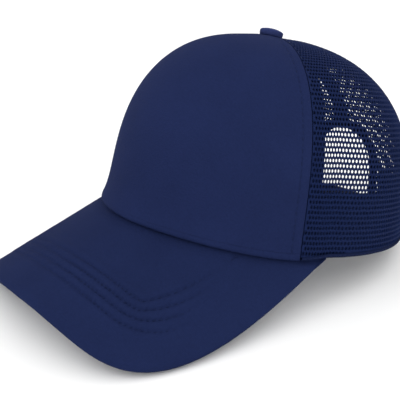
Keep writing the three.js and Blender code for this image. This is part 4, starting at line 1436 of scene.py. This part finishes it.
def cut_plate(outline, holes, thickness, soften):
    """Flat plate with softened edges: its points as (x, z, depth) and its faces by size."""
    curve = bpy.data.curves.new("plate", "CURVE")
    curve.dimensions = "2D"
    curve.fill_mode = "BOTH"
    curve.extrude = thickness / 2 - soften
    curve.bevel_depth = soften
    curve.bevel_resolution = 2
    curve.offset = -soften
    for ring in (outline, *holes):
        spline = curve.splines.new("POLY")
        spline.points.add(len(ring) - 1)
        spline.points.foreach_set("co", [v for x, z in ring for v in (x, z, 0, 1)])
        spline.use_cyclic_u = True
    holder = add_object("plate", curve)
    mesh = bpy.data.meshes.new_from_object(holder.evaluated_get(
        bpy.context.evaluated_depsgraph_get()))
    bpy.data.objects.remove(holder)
    solid = bmesh.new()
    solid.from_mesh(mesh)
    bmesh.ops.remove_doubles(solid, verts=solid.verts, dist=1e-4)
    for x in np.arange(-34.5, 35, 1.0):
        bmesh.ops.bisect_plane(solid, geom=[*solid.verts, *solid.edges, *solid.faces],
                               plane_co=(x, 0, 0), plane_no=(1, 0, 0))
    bmesh.ops.recalc_face_normals(solid, faces=solid.faces)
    solid.verts.index_update()
    points = np.array([v.co for v in solid.verts])
    polygons = [[v.index for v in f.verts] for f in solid.faces]
    solid.free()
    sizes = sorted({len(p) for p in polygons})
    return points, [np.array([p for p in polygons if len(p) == n]) for n in sizes]


def strap_outline(tip, root):
    """Long plate with a rounded free end and a plain sewn end."""
    toward = math.copysign(1, root - tip)
    inner = tip + toward * STRAP_TIP_ROUND
    corners = [(root, STRAP_BOTTOM), (inner, STRAP_BOTTOM)]
    for a in np.linspace(-math.pi / 2, math.pi / 2, 15)[1:-1]:
        corners.append((inner - toward * STRAP_TIP_ROUND * math.cos(a) ** 0.8,
                        STRAP_MIDDLE + STRAP_HALF * math.sin(a)))
    return [*corners, (inner, STRAP_TOP), (root, STRAP_TOP)]


def stud_row(count):
    return [(i - (count - 1) / 2) * STUD_PITCH for i in range(count)]


def strap_stud(x):
    """Stud with a slight head, standing outward on the inner strap."""
    profile = rounded([(0, 2.0), (1.9, 2.0), (1.9, 1.25), (1.62, 0.9), (1.62, -0.1), (2.1, -0.45),
                       (2.1, -0.6), (0, -0.6)], 0.4, 4)
    sides = 32
    turn = turns_of(sides)[:, None]
    radius, height = profile[:, 0][None], profile[:, 1][None]
    points = on_strap(x + radius * np.cos(turn), STRAP_MIDDLE + radius * np.sin(turn),
                      np.repeat(STUD_STRAP_DEPTH + height, sides, 0))
    return points.reshape(-1, 3), turned_faces(sides, len(profile))


def strap(name, tip, root, depth, holes, extras, nodes):
    """One flexible strap from its sewn end to its free end, bending at the side of the arch."""
    rings = [circle(x, STRAP_HOLE) for x in holes]
    middle = depth - STRAP_THICKNESS / 2
    plate, faces = cut_plate(strap_outline(tip, root), rings, STRAP_THICKNESS, 0.25)
    parts = [(on_strap(plate[:, 0], plate[:, 1], plate[:, 2] + middle), faces)]
    for x, ring in zip(holes, rings):
        points, faces = cut_plate(circle(x, STRAP_HOLE + STRAP_HOLE_RIM), [ring], 0.5, 0.18)
        parts.append((on_strap(points[:, 0], points[:, 1], points[:, 2] + depth + 0.08), faces))
    piece = build(name, join(*parts, *extras), STRAP_PLASTIC, nodes, sharp=35, body=None,
                  weld=True)
    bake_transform(piece)


def straps():
    strap("outer_closure_strap", -18.5, STRAP_ROOT_X, HOLE_STRAP_DEPTH, stud_row(6), [],
          ["hole_strap", "hole_strap_tab"])
    strap("inner_closure_strap", 17.5, -STRAP_ROOT_X, STUD_STRAP_DEPTH, [],
          [strap_stud(x) for x in stud_row(4)], ["stud_strap", "stud_strap_tab"])
    rows = []
    near, far = STRAP_SEWN
    low, high = STRAP_SEWN_Z
    for sign, depth in ((1, HOLE_STRAP_DEPTH), (-1, STUD_STRAP_DEPTH)):
        x = sign * np.concatenate([
            np.full(30, near), np.linspace(near, far, 40), np.full(30, far)])
        z = np.concatenate([
            np.linspace(low, high, 30), np.full(40, high), np.linspace(high, low, 30)])
        psi = np.interp(x, STRAP_X, STRAP_PSI)
        out = np.hstack([rim_normal(psi), np.zeros((len(x), 1))])
        path = on_strap(x, z, np.full(len(x), depth + 0.05))
        rows.append(stitches(path, out, pitch=2.4, radius=0.2))
        rows.append(stitches(path - out * (STRAP_THICKNESS + 0.1), -out, pitch=2.4, radius=0.2))
    build("strap_tab_stitching", join(*rows), THREAD)


# ---------------------------------------------------------------- button

def steel_turning(name, profile, sides, node):
    points, faces = turned(profile, sides)
    build(name, (on_button(points), faces), STEEL, [node], sharp=38, weld=True)


def button():
    top, half = BUTTON_HEIGHT, BUTTON_RADIUS
    bend = np.linspace(0, 1, 26)
    dome = [(half * 0.97 * b, top - 0.55 * b ** 2.4) for b in bend[:19] * 0.75]
    dome = [(0.0, top), *dome[1:]]
    outer = rounded([*dome, (half - 0.15, top - 1.0), (half, 2.6), (half - 0.25, 0.9),
                     (half - 1.1, 0.15), (half - 2.2, 0.25)], 1.6, 8)
    inner = rounded([(0, top - 0.75), (half - 1.6, top - 0.95), (half - 0.75, top - 2.0),
                     (half - 0.95, 1.1), (half - 2.2, 0.8)], 1.0, 5)[::-1]
    points, faces = turned([*outer, *inner, (0.0, top - 0.75)], 96)
    angle = np.arctan2(points[:, 1], points[:, 0])
    low = 1 - smooth(points[:, 2], 0.4, 3.4)
    tuck = 1 + 0.012 * low * np.sin(angle * 14) + 0.006 * low * np.sin(angle * 31 + 1)
    flat = points[:, :2] / 10
    points[:, :2] *= tuck[:, None]
    piece = build("covered_button", (on_button(points), faces), BUTTON_CLOTH_PAINTED_LIGHT,
                  ["button_cover"], flat, weld=True)
    half -= 1.05
    cap_outer = rounded([(0, top - 0.95), (half - 0.5, top - 1.15), (half, top - 2.2),
                         (half, 0.95)], 1.2, 6)
    cap_inner = rounded([(half - 0.6, 0.95), (half - 0.6, top - 2.3), (half - 1.0, top - 1.8),
                         (0, top - 1.55)], 0.9, 5)
    steel_turning("button_core", [*cap_outer, *cap_inner], 72, "button_shell")
    rivet = rounded([(0, 3.0), (4, 3.0), (4, 2.2), (1.6, 2.2), (1.6, -3.0), (3.4, -3.0),
                     (3.4, -3.8), (0, -3.8)], 0.3, 4)
    steel_turning("rivet", rivet, 56, "button_rivet")
    washer = rounded([(4.6, -1.85), (2.1, -1.7), (2.1, -2.45), (4.6, -2.6), (7.4, -2.35), (8, -2.1),
                      (8, -1.75), (7.4, -1.8), (4.6, -1.85)], 0.3, 4)
    steel_turning("washer", washer, 72, "button_washer")


# ---------------------------------------------------------------- the cap

front_panel()
front_foam()
front_topstitch()
hems = rim_hems()
side_mesh()
back_mesh(hems)
tapes()
sweatband()
sweatband_pad()
care_label()
arch_binding()
visor()
straps()
button()

# ---------------------------------------------------------------- floor, light and camera

CAMERA = {"azimuth": 49.9, "elevation": 21.46, "roll": -1.89, "distance": 0.45, "lens": 59.3,
          "target": (-0.04036, 0.02413, 0.01712)}


def stage():
    size = 15.0
    mesh = bpy.data.meshes.new("floor")
    mesh.from_pydata([(-size, -size, 0), (size, -size, 0), (size, size, 0), (-size, size, 0)], [],
                     [(0, 1, 2, 3)])
    mesh.materials.append(floor_look())
    floor = add_object("floor", mesh)


def soft_light(name, place, size, energy):
    """Square light that faces the cap."""
    data = bpy.data.lights.new(name, "AREA")
    data.size = size
    data.energy = energy
    light = add_object(name, data)
    light.location = place
    aim = Vector((0, 0, 0.06)) - light.location
    light.rotation_euler = aim.to_track_quat("-Z", "Y").to_euler()


def studio():
    stage()
    soft_light("key", (-0.5, -1.5, 1.6), 1.6, 7)
    soft_light("fill", (1.7, -0.4, 1.1), 1.4, 4)
    soft_light("back", (0.4, 1.6, 1.3), 1.2, 3)
    sky = bpy.data.lights.new("sky", "SUN")
    sky.energy, sky.angle = 0.35, math.radians(90)
    add_object("sky", sky).location = (0, 0, 2)
    world = bpy.data.worlds.new("white_studio")
    world.use_nodes = True
    world.node_tree.nodes["Background"].inputs[0].default_value = (1, 1, 1, 1)
    world.node_tree.nodes["Background"].inputs[1].default_value = 1.0
    bpy.context.scene.world = world
    bpy.context.scene.view_settings.view_transform = "Standard"


def camera():
    azimuth, elevation = math.radians(CAMERA["azimuth"]), math.radians(CAMERA["elevation"])
    roll = math.radians(CAMERA["roll"])
    right = Vector((math.cos(azimuth), math.sin(azimuth), 0))
    back = Vector((math.cos(elevation) * math.sin(azimuth),
                   -math.cos(elevation) * math.cos(azimuth), math.sin(elevation)))
    up = back.cross(right)
    tilted = right * math.cos(roll) + up * math.sin(roll)
    up = back.cross(tilted)
    data = bpy.data.cameras.new("camera")
    data.lens = CAMERA["lens"]
    data.clip_start = 0.01
    eye = add_object("camera", data)
    place = Vector(CAMERA["target"]) + back * CAMERA["distance"]
    eye.matrix_world = Matrix.Translation(place) @ Matrix((tilted, up, back)).transposed().to_4x4()
    bpy.context.scene.camera = eye


studio()
camera()
